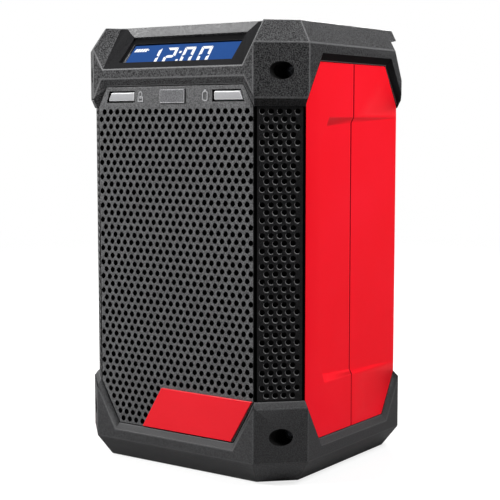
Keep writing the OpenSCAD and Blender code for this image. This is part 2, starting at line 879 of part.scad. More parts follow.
// Outlines of the indicator windows: square inner end, slanted outer end
module lens_outline(grow) {
    z = height - badge_drop - lens_h / 2;
    polygon([
        [lens_start - grow, z - grow],
        [lens_start + lens_w + 2.2 + grow, z - grow],
        [lens_start + lens_w + grow, z + lens_h + grow],
        [lens_start - grow, z + lens_h + grow],
    ]);
}
module lens_pair(grow) {
    lens_outline(grow);
    mirror([1, 0]) lens_outline(grow);
}

lens_back = front_wall_back + 0.9;
module right_lens() color("gainsboro") along_y(-front + 0.2, lens_back) lens_outline(0);
module left_lens() color("gainsboro") mirror([1, 0, 0]) right_lens();

module indicator_board()
    color("darkgreen")
    along_y(front_wall_back + 1.2, front_wall_back + 2.4)
    translate([0, height - badge_drop - 2.5])
        square([2 * (lens_start + lens_w), lens_h + 5], center = true);

// ---------------------------------------------------------------- display and keys

// Box in the slope's frame: width, start and length up the slope, depths
module window_prism(w, start, length, low, high)
    translate([-w / 2, start, low]) cube([w, length, high - low]);

module display_bezel()
    color("black")
    on_slope()
    difference() {
        window_prism(window_w - 2 * fit, window_start + fit, window_h - 2 * fit, -scoop_wall, -1);
        translate([view_shift, 0, 0]) window_prism(view_w, view_start, view_h, -scoop_wall - 1, 0);
    }

module display_window()
    color("lightblue")
    on_slope() translate([view_shift, 0, 0])
        window_prism(view_w - 2 * fit, view_start + fit, view_h - 2 * fit, -scoop_wall, -1.4);

module lcd_panel()
    color("royalblue")
    on_slope()
        window_prism(window_w + 4, window_start - 2, window_h + 1.5, -scoop_wall - lcd_t, -scoop_wall);

module at_keys()
    for (row = [0, 1], column = [0:key_columns - 1]) translate(key_place(row, column)) children();
function key_place(row, column) = [(column - (key_columns - 1) / 2) * key_pitch, key_rows[row], 0];

module key_panel()
    color("dimgray")
    difference() {
        along_z(key_low, key_low + key_panel_t) translate([0, key_panel_y])
            rounded(key_panel_w, key_panel_d, 4);
        at_keys() along_z(key_low - 1, height) rounded(key_w + 2 * run, key_d + 2 * run, 2);
    }

// Key with its flange under the panel and its stem above the switch
module key(row, column)
    color("darkgray")
    if (column < key_columns)
        translate(key_place(row, column)) {
            along_z(key_low - run - 1.2, key_top - key_travel / 4) rounded(key_w, key_d, 2);
            along_z(key_low - run - 1.2, key_low - run)
                rounded(key_w + 2 * flange_over, key_d + 2 * flange_over, 2);
            along_z(key_stem_low, key_low - run) circle(d = 4);
        }

module power_key() key(1, 0);
module mode_key() key(1, 1);
module menu_key() key(1, 2);
module volume_down_key() key(1, 3);
module volume_up_key() key(1, 4);
module tune_down_key() key(0, 0);
module tune_up_key() key(0, 1);
module preset_one_key() key(0, 2);
module preset_two_key() key(0, 3);
module preset_three_key() key(0, 4);

// Board with one push switch under each key
module key_board()
    color("darkgreen") {
        along_z(key_board_top - board_t, key_board_top) translate([0, key_panel_y])
            square([key_board_w, key_board_d], center = true);
        at_keys() along_z(key_board_top, key_stem_low - key_travel - run) square(6, center = true);
    }

// ---------------------------------------------------------------- fasteners

module long_screws()
    color("silver")
    at_screws() {
        bar_y(0, 0, screw_y - screw_head_h, screw_y, screw_head_d);
        bar_y(0, 0, screw_y - 1, screw_grip, screw_d);
    }

board_screw_d = 2.4;
module board_screws()
    color("silver")
    at_board_posts() {
        bar_y(0, 0, board_y - 1.6, board_y, 5);
        bar_y(0, 0, board_y - 1, board_y + board_t + 5, board_screw_d);
    }

speaker_screw_d = 2.8;
module at_speaker_screws()
    for (angle = [45:90:315])
        translate([0, 0, speaker_z] + [cos(angle), 0, sin(angle)] * speaker_screw_circle / 2)
            children();

module speaker_screws()
    color("silver")
    at_speaker_screws() {
        bar_y(0, 0, speaker_y + flange_t, speaker_y + flange_t + 1.8, 5.4);
        bar_y(0, 0, speaker_y - 3.5, speaker_y + flange_t + 1, speaker_screw_d);
    }

// ---------------------------------------------------------------- speaker

// Ring or shell turned round the speaker's axis; its points are radius and depth
module turned() translate([0, speaker_y, speaker_z]) rotate([-90, 0, 0]) rotate_extrude() children();

module speaker_frame()
    color("dimgray")
    difference() {
        turned() polygon([
            [cone_r + 3.6, 1], [cone_r + 7.4, 1], [cone_r + 7.4, 0], [speaker_flange_d / 2, 0],
            [speaker_flange_d / 2, flange_t], [cone_r + 7, flange_t],
            [magnet_d / 2, speaker_frame_h - 2], [magnet_d / 2, speaker_frame_h],
            [gap_r + 1.5, speaker_frame_h], [gap_r + 1.5, speaker_frame_h - 2],
            [magnet_d / 2 - 2, speaker_frame_h - 2], [cone_r + 3.6, flange_t],
        ]);
        at_speaker_screws() bar_y(0, 0, speaker_y - 1, speaker_y + flange_t + 1, speaker_screw_d);
        for (angle = [0:90:270])
            translate([0, speaker_y, speaker_z]) rotate([0, angle, 0])
                block([magnet_d / 2 - 4, flange_t + 4, -11], [speaker_flange_d, speaker_frame_h - 5, 11]);
    }

module speaker_front_plate()
    color("silver")
    turned() translate([gap_r, speaker_frame_h]) square([magnet_d / 2 - 2 - gap_r, iron_t]);

module speaker_magnet()
    color("darkslategray")
    turned() translate([gap_r + 5, speaker_frame_h + iron_t]) square([magnet_d / 2 - gap_r - 5, magnet_h]);

module speaker_yoke()
    color("silver")
    turned() polygon([
        [0, speaker_frame_h], [pole_r, speaker_frame_h], [pole_r, motor_end - iron_t],
        [magnet_d / 2 - 2, motor_end - iron_t], [magnet_d / 2 - 2, motor_end], [0, motor_end],
    ]);

cone_rim = 1.6;
cone_sheet = 0.6;
module cone()
    color("gray")
    turned() polygon([
        [cone_r, cone_rim], [cone_r - 1.6, cone_rim], [coil_r + coil_t, neck_t],
        [coil_r + coil_t, neck_t + cone_sheet], [cone_r - 1.4, cone_rim + cone_sheet],
        [cone_r, cone_rim + cone_sheet],
    ]);

// Half roll between the cone's rim and the frame, standing forward
roll_r = 2;
module surround()
    color("black")
    turned() {
        middle = cone_r + 1.9;
        translate([cone_r - 1.4, cone_rim - cone_sheet]) square([1.7, cone_sheet]);
        translate([middle + roll_r - cone_sheet, 1 - cone_sheet]) square([3.2, cone_sheet]);
        translate([middle, 1]) intersection() {
            difference() {
                circle(roll_r);
                circle(roll_r - cone_sheet);
            }
            translate([-roll_r, -2 * roll_r]) square([2 * roll_r, 2 * roll_r]);
        }
    }

module spider()
    color("goldenrod")
    turned() translate([coil_r + coil_t + 0.05, speaker_frame_h - 2.8])
        square([magnet_d / 2 - 5 - coil_r - coil_t, 0.8]);

module dust_cap()
    color("black")
    turned() {
        cap_r = 14;
        sink = 7.2;
        translate([0, neck_t - 0.95 + sink]) intersection() {
            difference() {
                circle(cap_r);
                circle(cap_r - 0.5);
            }
            translate([0, -cap_r]) square([cap_r, cap_r - sink]);
        }
    }

module voice_coil()
    color("peru")
    turned() translate([coil_r, neck_t]) square([coil_t, speaker_frame_h + iron_t + 1 - neck_t]);

// ---------------------------------------------------------------- boards and ports

usb_size = [14.4, 6.8];
usb_x = -17;
aux_x = 4;
aux_d = 8;
inlet_x = 20;
inlet_d = 10;
socket_end = port_floor + 1.5;
module socket_outlines(grow) {
    translate([usb_x, port_z]) square(usb_size + [2 * grow, 2 * grow], center = true);
    translate([aux_x, port_z]) circle(d = aux_d + 2 * grow);
    translate([inlet_x, port_z]) circle(d = inlet_d + 2 * grow);
}

module usb_socket()
    color("silver")
    difference() {
        along_y(board_y + board_t, socket_end) translate([usb_x, port_z]) square(usb_size, center = true);
        along_y(board_y + board_t + 1, socket_end + 1)
            translate([usb_x, port_z]) difference() {
                square(usb_size - [1, 1], center = true);
                translate([0, 1]) square([usb_size.x - 3, 1.8], center = true);
            }
    }

module aux_socket()
    color("black")
    difference() {
        bar_y(aux_x, port_z, board_y + board_t, socket_end, aux_d);
        bar_y(aux_x, port_z, board_y + board_t + 1, socket_end + 1, 3.6);
    }

module power_inlet()
    color("black") {
        difference() {
            bar_y(inlet_x, port_z, board_y + board_t, socket_end, inlet_d);
            bar_y(inlet_x, port_z, board_y + board_t + 1, socket_end + 1, 6);
        }
        bar_y(inlet_x, port_z, board_y + board_t, socket_end - 1, 2);
    }

module main_board()
    color("darkgreen")
    difference() {
        along_y(board_y, board_y + board_t) translate([0, port_z])
            square([board_w, board_h], center = true);
        at_board_posts() bar_y(0, 0, board_y - 1, board_y + board_t + 1, board_screw_d);
    }

// Chips, capacitors and the amplifier's heat sink on the inner face of the board
module board_components()
    color("darkslategray") {
        for (chip = [[-28, 14, 12, 12, 1.4], [2, 14, 16, 16, 1.6], [-6, -16, 9, 6, 1.4]])
            along_y(board_y - chip[4], board_y)
                translate([chip[0], port_z + chip[1]]) square([chip[2], chip[3]], center = true);
        for (x = [-34, -24], z = [-18, -6]) bar_y(x, port_z + z, board_y - 11, board_y, 7);
        difference() {
            block([sink_x, board_y - sink_h, port_z - sink_l / 2],
                [sink_x + sink_w, board_y, port_z + sink_l / 2]);
            for (i = [0:sink_slots - 1])
                block([sink_x + sink_slot + i * 2 * sink_slot, board_y - sink_h - 1, port_z - sink_l],
                    [sink_x + (2 + i * 2) * sink_slot, board_y - 3, port_z + sink_l]);
        }
    }

module port_door()
    color("black")
    difference() {
        union() {
            along_y(door_back + 0.1, front) translate([0, port_z]) square([door_w, door_h], center = true);
            bar_x(hinge_y, hinge_z, -port_half, port_half, 2 * knuckle_r);
            block([-port_half, hinge_y - 1, hinge_z], [port_half, front - 0.3, door_low + 1]);
        }
        bar_x(hinge_y, hinge_z, -port_half - 1, port_half + 1, hinge_d + 0.1);
    }

module hinge_pin()
    color("silver") bar_x(hinge_y, hinge_z, -port_half - 3, port_half + 3, hinge_d);

// ---------------------------------------------------------------- battery

// Rounded triangle round three cells, at a distance from their axes
module three_cells(r)
    translate([0, pack_z]) {
        for (i = [0:2]) {
            rotate(90 + 120 * i) translate([cell_ring, 0]) circle(r);
            rotate(-90 + 120 * i) translate([0, -cell_pitch / 2]) square([cell_ring / 2 + r, cell_pitch]);
        }
        circle(r);
    }

// Tub with room for the pack's base and a finger at each side, and the tunnel for its stem
module battery_bay()
    color("black")
    difference() {
        union() {
            along_y(pocket_floor - bay_wall, front) translate([0, pack_z])
                square([2 * bay_half + 2 * bay_wall, bay_h + 2 * bay_wall], center = true);
            along_y(stem_end - run - bay_wall, pocket_floor) three_cells(stem_r + tunnel_gap + bay_wall);
        }
        along_y(pocket_floor, front + 1) translate([0, pack_z]) rounded(2 * bay_half, bay_h, 3);
        along_y(stem_end - run, pocket_floor + 1) three_cells(stem_r + tunnel_gap);
    }

// Contact blades on their block at the end of the tunnel
module battery_terminals()
    color("gold")
    for (x = blade_x)
        block([x - 0.4, stem_end - run, pack_z - 6], [x + 0.4, stem_end + 6, pack_z + 2]);

module battery_case()
    color("black")
    difference() {
        along_y(stem_end, pack_seat) three_cells(stem_r);
        along_y(stem_end + 9, pack_seat + 1) three_cells(cell_d / 2 + 0.1);
        for (x = blade_x)
            block([x - 0.9, stem_end - 1, pack_z - 7], [x + 0.9, stem_end + 7.5, pack_z + 3]);
    }

// Base of the pack: a shell round the cells' ends, with a window for the latch at each side
module battery_base()
    color("firebrick")
    difference() {
        along_y(pack_seat, pack_seat + pack_base_d) translate([0, pack_z])
            rounded(pack_base_w, pack_base_h, 5);
        along_y(pack_seat - 1, pack_seat + 2.5) three_cells(cell_d / 2 + 0.1);
        along_y(pack_seat + 2, pack_seat + pack_base_d - pack_wall) translate([0, pack_z])
            rounded(pack_base_w - 2 * pack_wall, pack_base_h - 2 * pack_wall, 3.5);
        along_y(pack_seat + latch_d / 2 - run, pack_seat + latch_d / 2 + latch_d + run)
            translate([0, pack_z]) square([pack_base_w + 2, latch_h + 2 * run], center = true);
    }

module battery_cells()
    color("seagreen")
    for (i = [0:2])
        bar_y(cell_ring * cos(90 + 120 * i), pack_z + cell_ring * sin(90 + 120 * i),
            stem_end + 9, stem_end + 9 + cell_l, cell_d);

// Latch button in its window, right side, with the flange that keeps it in
module latch() {
    latch_y = pack_seat + latch_d / 2;
    base_half = pack_base_w / 2;
    block([base_half - pack_wall - 1, latch_y, pack_z - latch_h / 2],
        [base_half + latch_proud, latch_y + latch_d, pack_z + latch_h / 2]);
    block([base_half - pack_wall - 1, latch_y, pack_z - latch_h / 2 - 3],
        [base_half - pack_wall - run, latch_y + latch_d, pack_z + latch_h / 2 + 3]);
}

module right_latch() color("dimgray") latch();
module left_latch() color("dimgray") mirror([1, 0, 0]) latch();

front_shell();
rear_shell();
left_front_cover();
left_rear_cover();
right_front_cover();
right_rear_cover();
front_grille();
left_corner_grille();
right_corner_grille();
dust_screen();
lower_plate();
upper_plate();
left_lens();
right_lens();
indicator_board();
top_bumper();
bottom_bumper();
feet();
display_bezel();
display_window();
lcd_panel();
key_panel();
power_key();
mode_key();
menu_key();
volume_down_key();
volume_up_key();
tune_down_key();
tune_up_key();
preset_one_key();
preset_two_key();
preset_three_key();
key_board();
long_screws();
speaker_frame();
speaker_front_plate();
speaker_magnet();
speaker_yoke();
surround();
spider();
cone();
dust_cap();
voice_coil();
speaker_screws();
main_board();
board_components();
board_screws();
battery_bay();
battery_terminals();
battery_case();
battery_base();
battery_cells();
left_latch();
right_latch();
port_door();
hinge_pin();
usb_socket();
aux_socket();
power_inlet();
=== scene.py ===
"""Jobsite radio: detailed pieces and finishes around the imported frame, with its studio and camera.

Sizes are written in millimetres and turned into metres where a mesh is made. The radio stands on
Z = 0, its front looks along -Y and its right side, seen from the front, is at +X.
"""

import logging
import math
from abc import ABC, abstractmethod
from dataclasses import dataclass, field, replace
from enum import Enum
from typing import Any, Callable, ClassVar, Mapping, Sequence

import bmesh
import bpy
import numpy as np
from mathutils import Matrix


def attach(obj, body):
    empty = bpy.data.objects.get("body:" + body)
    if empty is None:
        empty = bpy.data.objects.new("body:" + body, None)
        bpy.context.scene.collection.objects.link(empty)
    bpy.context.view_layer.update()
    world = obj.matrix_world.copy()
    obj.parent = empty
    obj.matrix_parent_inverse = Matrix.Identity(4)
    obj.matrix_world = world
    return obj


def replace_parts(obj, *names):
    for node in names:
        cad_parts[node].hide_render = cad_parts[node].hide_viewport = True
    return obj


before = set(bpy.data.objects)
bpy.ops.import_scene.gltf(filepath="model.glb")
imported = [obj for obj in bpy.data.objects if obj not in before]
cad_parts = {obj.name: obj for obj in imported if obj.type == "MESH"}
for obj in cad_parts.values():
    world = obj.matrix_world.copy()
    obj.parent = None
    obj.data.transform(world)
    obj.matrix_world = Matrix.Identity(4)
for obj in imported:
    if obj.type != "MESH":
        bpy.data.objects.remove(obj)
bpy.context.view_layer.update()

LOG = logging.getLogger("radio")
MM = 0.001

Colour = tuple[float, float, float, float]
Place = tuple[float, float, float]
Solid = tuple[np.ndarray, list]
EdgeTest = Callable[[np.ndarray], np.ndarray]  # which of the edges with these middles

WHITE: Colour = (1.0, 1.0, 1.0, 1.0)
SCREW_ASIDE = 69.9  # distance of the long screws from the middle plane, in millimetres
SCREW_HEIGHTS = (28.5, 233.8)


def srgb(red: float, green: float, blue: float) -> Colour:
    """Linear colour of a display colour given in steps of 0 to 255.

    Each step is scaled to 0..1; small values are divided by 12.92 and the others are raised to
    the power 2.4 after their offset of 0.055 is taken out.

    Args:
        red: Red step.
        green: Green step.
        blue: Blue step.

    Returns:
        Linear red, green and blue, with an alpha of 1.
    """
    steps = np.array([red, green, blue]) / 255.0
    linear = np.where(steps <= 0.04045, steps / 12.92, ((steps + 0.055) / 1.055) ** 2.4)
    return (float(linear[0]), float(linear[1]), float(linear[2]), 1.0)


def grey(step: float, cool: float = 1) -> Colour:
    """Linear colour of a grey step whose blue is a little higher."""
    return srgb(step, step, step + cool)


# ------------------------------------------------------------------------------ shader maths


class Signal:
    """Number that changes over a surface: a socket that arithmetic extends with Math nodes."""

    def __init__(self, tree: "Tree", socket: bpy.types.NodeSocket) -> None:
        """Wrap a socket.

        Args:
            tree: Node tree that the socket belongs to.
            socket: Output socket that carries the number.
        """
        self.tree = tree
        self.socket = socket

    def _math(self, operation: str, *feeds: "Number") -> "Signal":
        """Signal of one Math node on its numbers."""
        node = self.tree.node("ShaderNodeMath", {"operation": operation}, dict(enumerate(feeds)))
        return Signal(self.tree, node.outputs[0])

    def __add__(self, other: "Number") -> "Signal":
        """Sum."""
        return self._math("ADD", self, other)

    def __radd__(self, other: "Number") -> "Signal":
        """Sum with the number first."""
        return self._math("ADD", other, self)

    def __sub__(self, other: "Number") -> "Signal":
        """Difference."""
        return self._math("SUBTRACT", self, other)

    def __rsub__(self, other: "Number") -> "Signal":
        """Difference with the number first."""
        return self._math("SUBTRACT", other, self)

    def __mul__(self, other: "Number") -> "Signal":
        """Product."""
        return self._math("MULTIPLY", self, other)

    def __rmul__(self, other: "Number") -> "Signal":
        """Product with the number first."""
        return self._math("MULTIPLY", other, self)

    def __gt__(self, other: "Number") -> "Signal":
        """1 where this number is the larger one and 0 elsewhere."""
        return self._math("GREATER_THAN", self, other)

    def larger(self, other: "Number") -> "Signal":
        """Larger of two numbers."""
        return self._math("MAXIMUM", self, other)

    def sine(self) -> "Signal":
        """Sine of an angle in radians."""
        return self._math("SINE", self)

    def between(self, low: float, high: float) -> "Signal":
        """0 below the low value, 1 above the high one and a smooth step between them.

        Args:
            low: Value where the step starts.
            high: Value where the step ends.

        Returns:
            The stepped signal.
        """
        settings = {"interpolation_type": "SMOOTHSTEP", "clamp": True}
        inputs = {"Value": self, "From Min": low, "From Max": high}
        node = self.tree.node("ShaderNodeMapRange", settings, inputs)
        return Signal(self.tree, node.outputs["Result"])


Number = float | Signal
Feed = Any


class Tree:
    """Node tree of a material or of the world."""

    def __init__(self, owner: bpy.types.Material | bpy.types.World) -> None:
        """Start an empty tree.

        Args:
            owner: Material or world that the tree belongs to.
        """
        owner.use_nodes = True
        self.graph = owner.node_tree
        self.graph.nodes.clear()

    def node(
        self,
        kind: str,
        settings: Mapping[str, Any] | None = None,
        inputs: Mapping[str | int, Feed] | None = None,
    ) -> bpy.types.Node:
        """Make a node, give it its settings and then feed its sockets.

        Args:
            kind: Type of the node.
            settings: Values of the node's own properties.
            inputs: Value, signal or output socket for each named or numbered input.

        Returns:
            The new node.
        """
        made = self.graph.nodes.new(kind)
        for name, value in (settings or {}).items():
            setattr(made, name, value)
        for name, feed in (inputs or {}).items():
            self.feed(made.inputs[name], feed)
        return made

    def feed(self, socket: bpy.types.NodeSocket, feed: Feed) -> None:
        """Link a signal or an output socket to an input, or set the input's value.

        Args:
            socket: Input to feed.
            feed: What goes into it.
        """
        if isinstance(feed, Signal):
            self.graph.links.new(feed.socket, socket)
        elif isinstance(feed, bpy.types.NodeSocket):
            self.graph.links.new(feed, socket)
        else:
            socket.default_value = feed

    def place(self) -> bpy.types.NodeSocket:
        """Object coordinates, in metres."""
        return self.node("ShaderNodeTexCoord").outputs["Object"]

    def rays(self) -> tuple[Signal, Signal, Signal]:
        """Whether a ray comes from the camera, off gloss and through glass.

        Returns:
            Three signals that are 1 for such a ray and 0 otherwise.
        """
        path = self.node("ShaderNodeLightPath")
        kinds = ("Is Camera Ray", "Is Glossy Ray", "Is Transmission Ray")
        camera, glossy, through = (Signal(self, path.outputs[kind]) for kind in kinds)
        return camera, glossy, through


class Paint(Tree):
    """Node tree of one material, built from a Principled shader."""

    def __init__(self, name: str) -> None:
        """Start an empty material with its shader and its output.

        Args:
            name: Name of the material.
        """
        self.material = bpy.data.materials.new(name)
        super().__init__(self.material)
        self.shader = self.node("ShaderNodeBsdfPrincipled")
        inputs = {"Surface": self.shader.outputs[0]}
        self.output = self.node("ShaderNodeOutputMaterial", inputs=inputs)

    def set(self, **inputs: Feed) -> None:
        """Feed the shader's inputs, with an underscore for each space in their names.

        Args:
            **inputs: Value or signal for each input.
        """
        for name, feed in inputs.items():
            self.feed(self.shader.inputs[name.replace("_", " ")], feed)

    def axis(self, place: bpy.types.NodeSocket, name: str) -> Signal:
        """One axis of a place, in metres.

        Args:
            place: Coordinates to split.
            name: X, Y or Z.

        Returns:
            The coordinate along that axis.
        """
        return Signal(self, self.node("ShaderNodeSeparateXYZ", inputs={0: place}).outputs[name])

    def noise(self, place: bpy.types.NodeSocket, size: float, detail: float = 2.0) -> Signal:
        """Cloudy noise about 0.5.

        Args:
            place: Coordinates of the pattern.
            size: Size of its largest blots, in millimetres.
            detail: Number of finer layers.

        Returns:
            The noise.
        """
        inputs = {"Vector": place, "Scale": 1 / (size * MM), "Detail": detail}
        return Signal(self, self.node("ShaderNodeTexNoise", inputs=inputs).outputs["Fac"])

    def cells(self, place: bpy.types.NodeSocket, size: float) -> Signal:
        """Distance to the nearest of scattered points, as in pebbled plastic.

        Args:
            place: Coordinates of the pattern.
            size: Distance between the points, in millimetres.

        Returns:
            0 at a point and more away from it.
        """
        inputs = {"Vector": place, "Scale": 1 / (size * MM)}
        return Signal(self, self.node("ShaderNodeTexVoronoi", inputs=inputs).outputs["Distance"])

    def tinted(self, colour: Colour, tone: Signal) -> bpy.types.NodeSocket:
        """Colour made lighter or darker by a factor.

        Args:
            colour: Colour where the factor is 1.
            tone: Factor.

        Returns:
            The scaled colour.
        """
        inputs = {0: colour[:3], "Scale": tone}
        return self.node("ShaderNodeVectorMath", {"operation": "SCALE"}, inputs).outputs[0]

    def mixed(self, factor: Signal, first: Feed, second: Feed) -> bpy.types.NodeSocket:
        """Mix of two colours.

        Args:
            factor: 0 for the first colour and 1 for the second.
            first: Colour at 0.
            second: Colour at 1.

        Returns:
            The mixed colour.
        """
        node = self.node("ShaderNodeMix", {"data_type": "RGBA"}, {0: factor, 6: first, 7: second})
        return node.outputs[2]

    def bump(self, height: Signal, depth: float) -> None:
        """Bend the shader's normal by a height.

        Args:
            height: Height, from 0 to 1.
            depth: Depth of a full step, in millimetres.
        """
        inputs = {"Height": height, "Distance": depth * MM, "Strength": 1.0}
        self.set(Normal=self.node("ShaderNodeBump", inputs=inputs).outputs[0])


# ------------------------------------------------------------------------------ finishes


class Finish(ABC):
    """Finish of a surface, made into a material when it is first asked for.

    Attributes:
        made: Materials of the finishes that have been asked for.
        name: Name of the material.
    """

    made: ClassVar[dict["Finish", bpy.types.Material]] = {}
    name: str

    @abstractmethod
    def paint(self, paint: Paint) -> None:
        """Build the finish in a material's node tree.

        Args:
            paint: Tree to build in.
        """

    def material(self) -> bpy.types.Material:
        """Material of this finish, shared by everything that wears it.

        Returns:
            The material.
        """
        if self not in Finish.made:
            paint = Paint(self.name)
            self.paint(paint)
            Finish.made[self] = paint.material
        return Finish.made[self]


@dataclass(frozen=True)
class Moulded(Finish):
    """Moulded plastic with a fine spark-eroded grain.

    Attributes:
        name: Name of the material.
        colour: Base colour.
        roughness: Mean roughness.
        grain: Size of the grain, in millimetres.
        depth: Depth of the grain, in millimetres.
        speckle: Lightness that the grain adds or takes away.
        mottle: Lightness that broad blots add or take away.
        level: Strength of the mirror-like part of the light, 0.5 being plain plastic.
        blot: Size of the blots, in millimetres.
    """

    name: str
    colour: Colour
    roughness: float = 0.5
    grain: float = 0.55
    depth: float = 0.05
    speckle: float = 0.5
    mottle: float = 0.12
    level: float = 0.5
    blot: float = 45.0

    def paint(self, paint: Paint) -> None:
        """Grain from fine noise and pebbles, over broad blots of lighter and darker plastic.

        Args:
            paint: Tree to build in.
        """
        place = paint.place()
        grain = paint.noise(place, self.grain, 1.0).between(0.3, 0.7)
        pebbles = paint.cells(place, self.grain * 1.4)
        blots = paint.noise(place, self.blot, 3.0)
        tone = 1 + (grain - 0.5) * (2 * self.speckle) + (blots - 0.5) * (2 * self.mottle)
        paint.set(
            Base_Color=paint.tinted(self.colour, tone),
            Roughness=self.roughness + (blots - 0.5) * 0.15 + (grain - 0.5) * 0.2,
            Specular_IOR_Level=self.level,
        )
        paint.bump(grain * 0.7 + pebbles * 0.5, self.depth)


@dataclass(frozen=True)
class Satin(Finish):
    """Smooth coloured plastic with a soft shine and a faint orange-peel surface.

    Attributes:
        name: Name of the material.
        colour: Base colour.
        deep: Colour of its darker blots.
        roughness: Mean roughness.
        ripple: Depth of the orange peel, in millimetres.
        level: Strength of the mirror-like part of the light, 0.5 being plain plastic.
        peel: Size of the orange peel, in millimetres.
        fine: Size of the finer peel over it, in millimetres.
        blot: Size of the blots, in millimetres.
    """

    name: str
    colour: Colour
    deep: Colour
    roughness: float = 0.42
    ripple: float = 0.02
    level: float = 0.5
    peel: float = 1.3
    fine: float = 0.4
    blot: float = 60.0

    def paint(self, paint: Paint) -> None:
        """Orange peel from two sizes of noise, with slow blots of a deeper colour.

        Args:
            paint: Tree to build in.
        """
        place = paint.place()
        peel = paint.noise(place, self.peel, 2.0)
        fine = paint.noise(place, self.fine, 1.0)
        blots = paint.noise(place, self.blot, 3.0)
        share = (blots - 0.5) * 1.4 + (fine - 0.5) * 0.5 + 0.5
        paint.set(
            Base_Color=paint.mixed(share.between(0.0, 1.0), self.deep, self.colour),
            Roughness=self.roughness + (fine - 0.5) * 0.16,
            Specular_IOR_Level=self.level,
        )
        paint.bump(peel * 0.6 + fine * 0.4, self.ripple)


@dataclass(frozen=True)
class Metal(Finish):
    """Plated or turned metal with fine scratches.

    Attributes:
        name: Name of the material.
        colour: Colour of its reflections.
        roughness: Mean roughness.
        scratch: Width of the scratches, in millimetres.
        stretch: How much closer the scratches lie along Z.
        cloud: Size of the tarnish's clouds, in millimetres.
    """

    name: str
    colour: Colour
    roughness: float = 0.3
    scratch: float = 1.2
    stretch: float = 14.0
    cloud: float = 6.0

    def paint(self, paint: Paint) -> None:
        """Scratches from stretched noise and a cloudy tarnish.

        Args:
            paint: Tree to build in.
        """
        place = paint.place()
        inputs = {0: place, "Scale": (1.0, 1.0, self.stretch)}
        stretched = paint.node("ShaderNodeMapping", inputs=inputs).outputs[0]
        scratches = paint.noise(stretched, self.scratch, 3.0)
        tarnish = paint.noise(place, self.cloud, 3.0)
        paint.set(
            Base_Color=paint.tinted(self.colour, 0.8 + tarnish * 0.4),
            Metallic=1.0,
            Roughness=self.roughness + (scratches - 0.5) * 0.2 + (tarnish - 0.5) * 0.2,
        )
        paint.bump(scratches, 0.01)


@dataclass(frozen=True)
class Cloth(Finish):
    """Woven screen or pressed cloth.

    Attributes:
        name: Name of the material.
        colour: Colour of the threads.
        pitch: Distance between threads, in millimetres.
        fuzz: Size of the fuzz, in millimetres.
    """

    name: str
    colour: Colour
    pitch: float = 0.5
    fuzz: float = 0.8

    def paint(self, paint: Paint) -> None:
        """Two crossing waves of threads, with fuzz.

        The weave is 0.5 plus a quarter of the sine of each of two directions, one turn a thread.

        Args:
            paint: Tree to build in.
        """
        place = paint.place()
        turn = 2 * math.pi / (self.pitch * MM)
        along = (paint.axis(place, "X") * turn).sine()
        across = (paint.axis(place, "Z") * turn).sine()
        weave = along * 0.25 + across * 0.25 + 0.5
        fuzz = paint.noise(place, self.fuzz, 2.0)
        paint.set(
            Base_Color=paint.tinted(self.colour, 0.6 + weave * 0.4 + fuzz * 0.4),
            Roughness=0.9,
            Specular_IOR_Level=0.1,
        )
        paint.bump(weave * 0.7 + fuzz * 0.3, 0.08)


@dataclass(frozen=True)
class Glow(Finish):
    """Lit face of the display, or the segments on it.

    Attributes:
        name: Name of the material.
        colour: Colour of the light.
        base: Colour of the face itself.
        flicker: Unevenness of the light.
        blot: Size of its brighter blots, in millimetres.
        dust: Size of the specks of dust, in millimetres.
    """

    name: str
    colour: Colour
    base: Colour
    flicker: float = 0.1
    blot: float = 14.0
    dust: float = 0.5

    def paint(self, paint: Paint) -> None:
        """Even light with slow blots, on a smooth face.

        Args:
            paint: Tree to build in.
        """
        place = paint.place()
        blots = paint.noise(place, self.blot, 2.0)
        dust = paint.noise(place, self.dust, 1.0)
        tone = 1 + (blots - 0.5) * (2 * self.flicker)
        paint.set(
            Base_Color=self.base,
            Roughness=0.4 + (dust - 0.5) * 0.1,
            Specular_IOR_Level=0.0,
            Emission_Color=paint.tinted(self.colour, tone),
            Emission_Strength=1.0,
        )


@dataclass(frozen=True)
class Clear(Finish):
    """Clear or smoked plate over the display.

    Attributes:
        name: Name of the material.
        colour: Tint of the plate.
        alpha: Share of the plate that hides what is behind it.
        smear: Size of the smears, in millimetres.
    """

    name: str
    colour: Colour
    alpha: float = 0.06
    smear: float = 9.0

    def paint(self, paint: Paint) -> None:
        """Thin tint with a smooth face and faint smears.

        Args:
            paint: Tree to build in.
        """
        smears = paint.noise(paint.place(), self.smear, 3.0)
        paint.set(
            Base_Color=self.colour,
            Roughness=0.04 + smears * 0.08,
            Alpha=self.alpha,
            Specular_IOR_Level=0.05,
        )


@dataclass(frozen=True)
class Board(Finish):
    """Circuit board with lacquer over its copper tracks.

    Attributes:
        name: Name of the material.
        colour: Colour of the lacquer.
        track: Colour over the tracks.
        block: Distance between the blocks of tracks, in millimetres.
        grain: Size of the lacquer's grain, in millimetres.
    """

    name: str
    colour: Colour
    track: Colour
    block: float = 3.2
    grain: float = 0.6

    def paint(self, paint: Paint) -> None:
        """Blocks of tracks from a square-cornered cell pattern.

        Args:
            paint: Tree to build in.
        """
        place = paint.place()
        settings = {"distance": "MANHATTAN", "feature": "F1"}
        inputs = {"Vector": place, "Scale": 1 / (self.block * MM)}
        cells = paint.node("ShaderNodeTexVoronoi", settings, inputs).outputs["Distance"]
        tracks = Signal(paint, cells).between(0.42, 0.5)
        grain = paint.noise(place, self.grain, 1.0)
        paint.set(
            Base_Color=paint.mixed(tracks * 0.7 + (grain - 0.5) * 0.2, self.colour, self.track),
            Roughness=0.35 + (grain - 0.5) * 0.2,
        )
        paint.bump(tracks, 0.04)


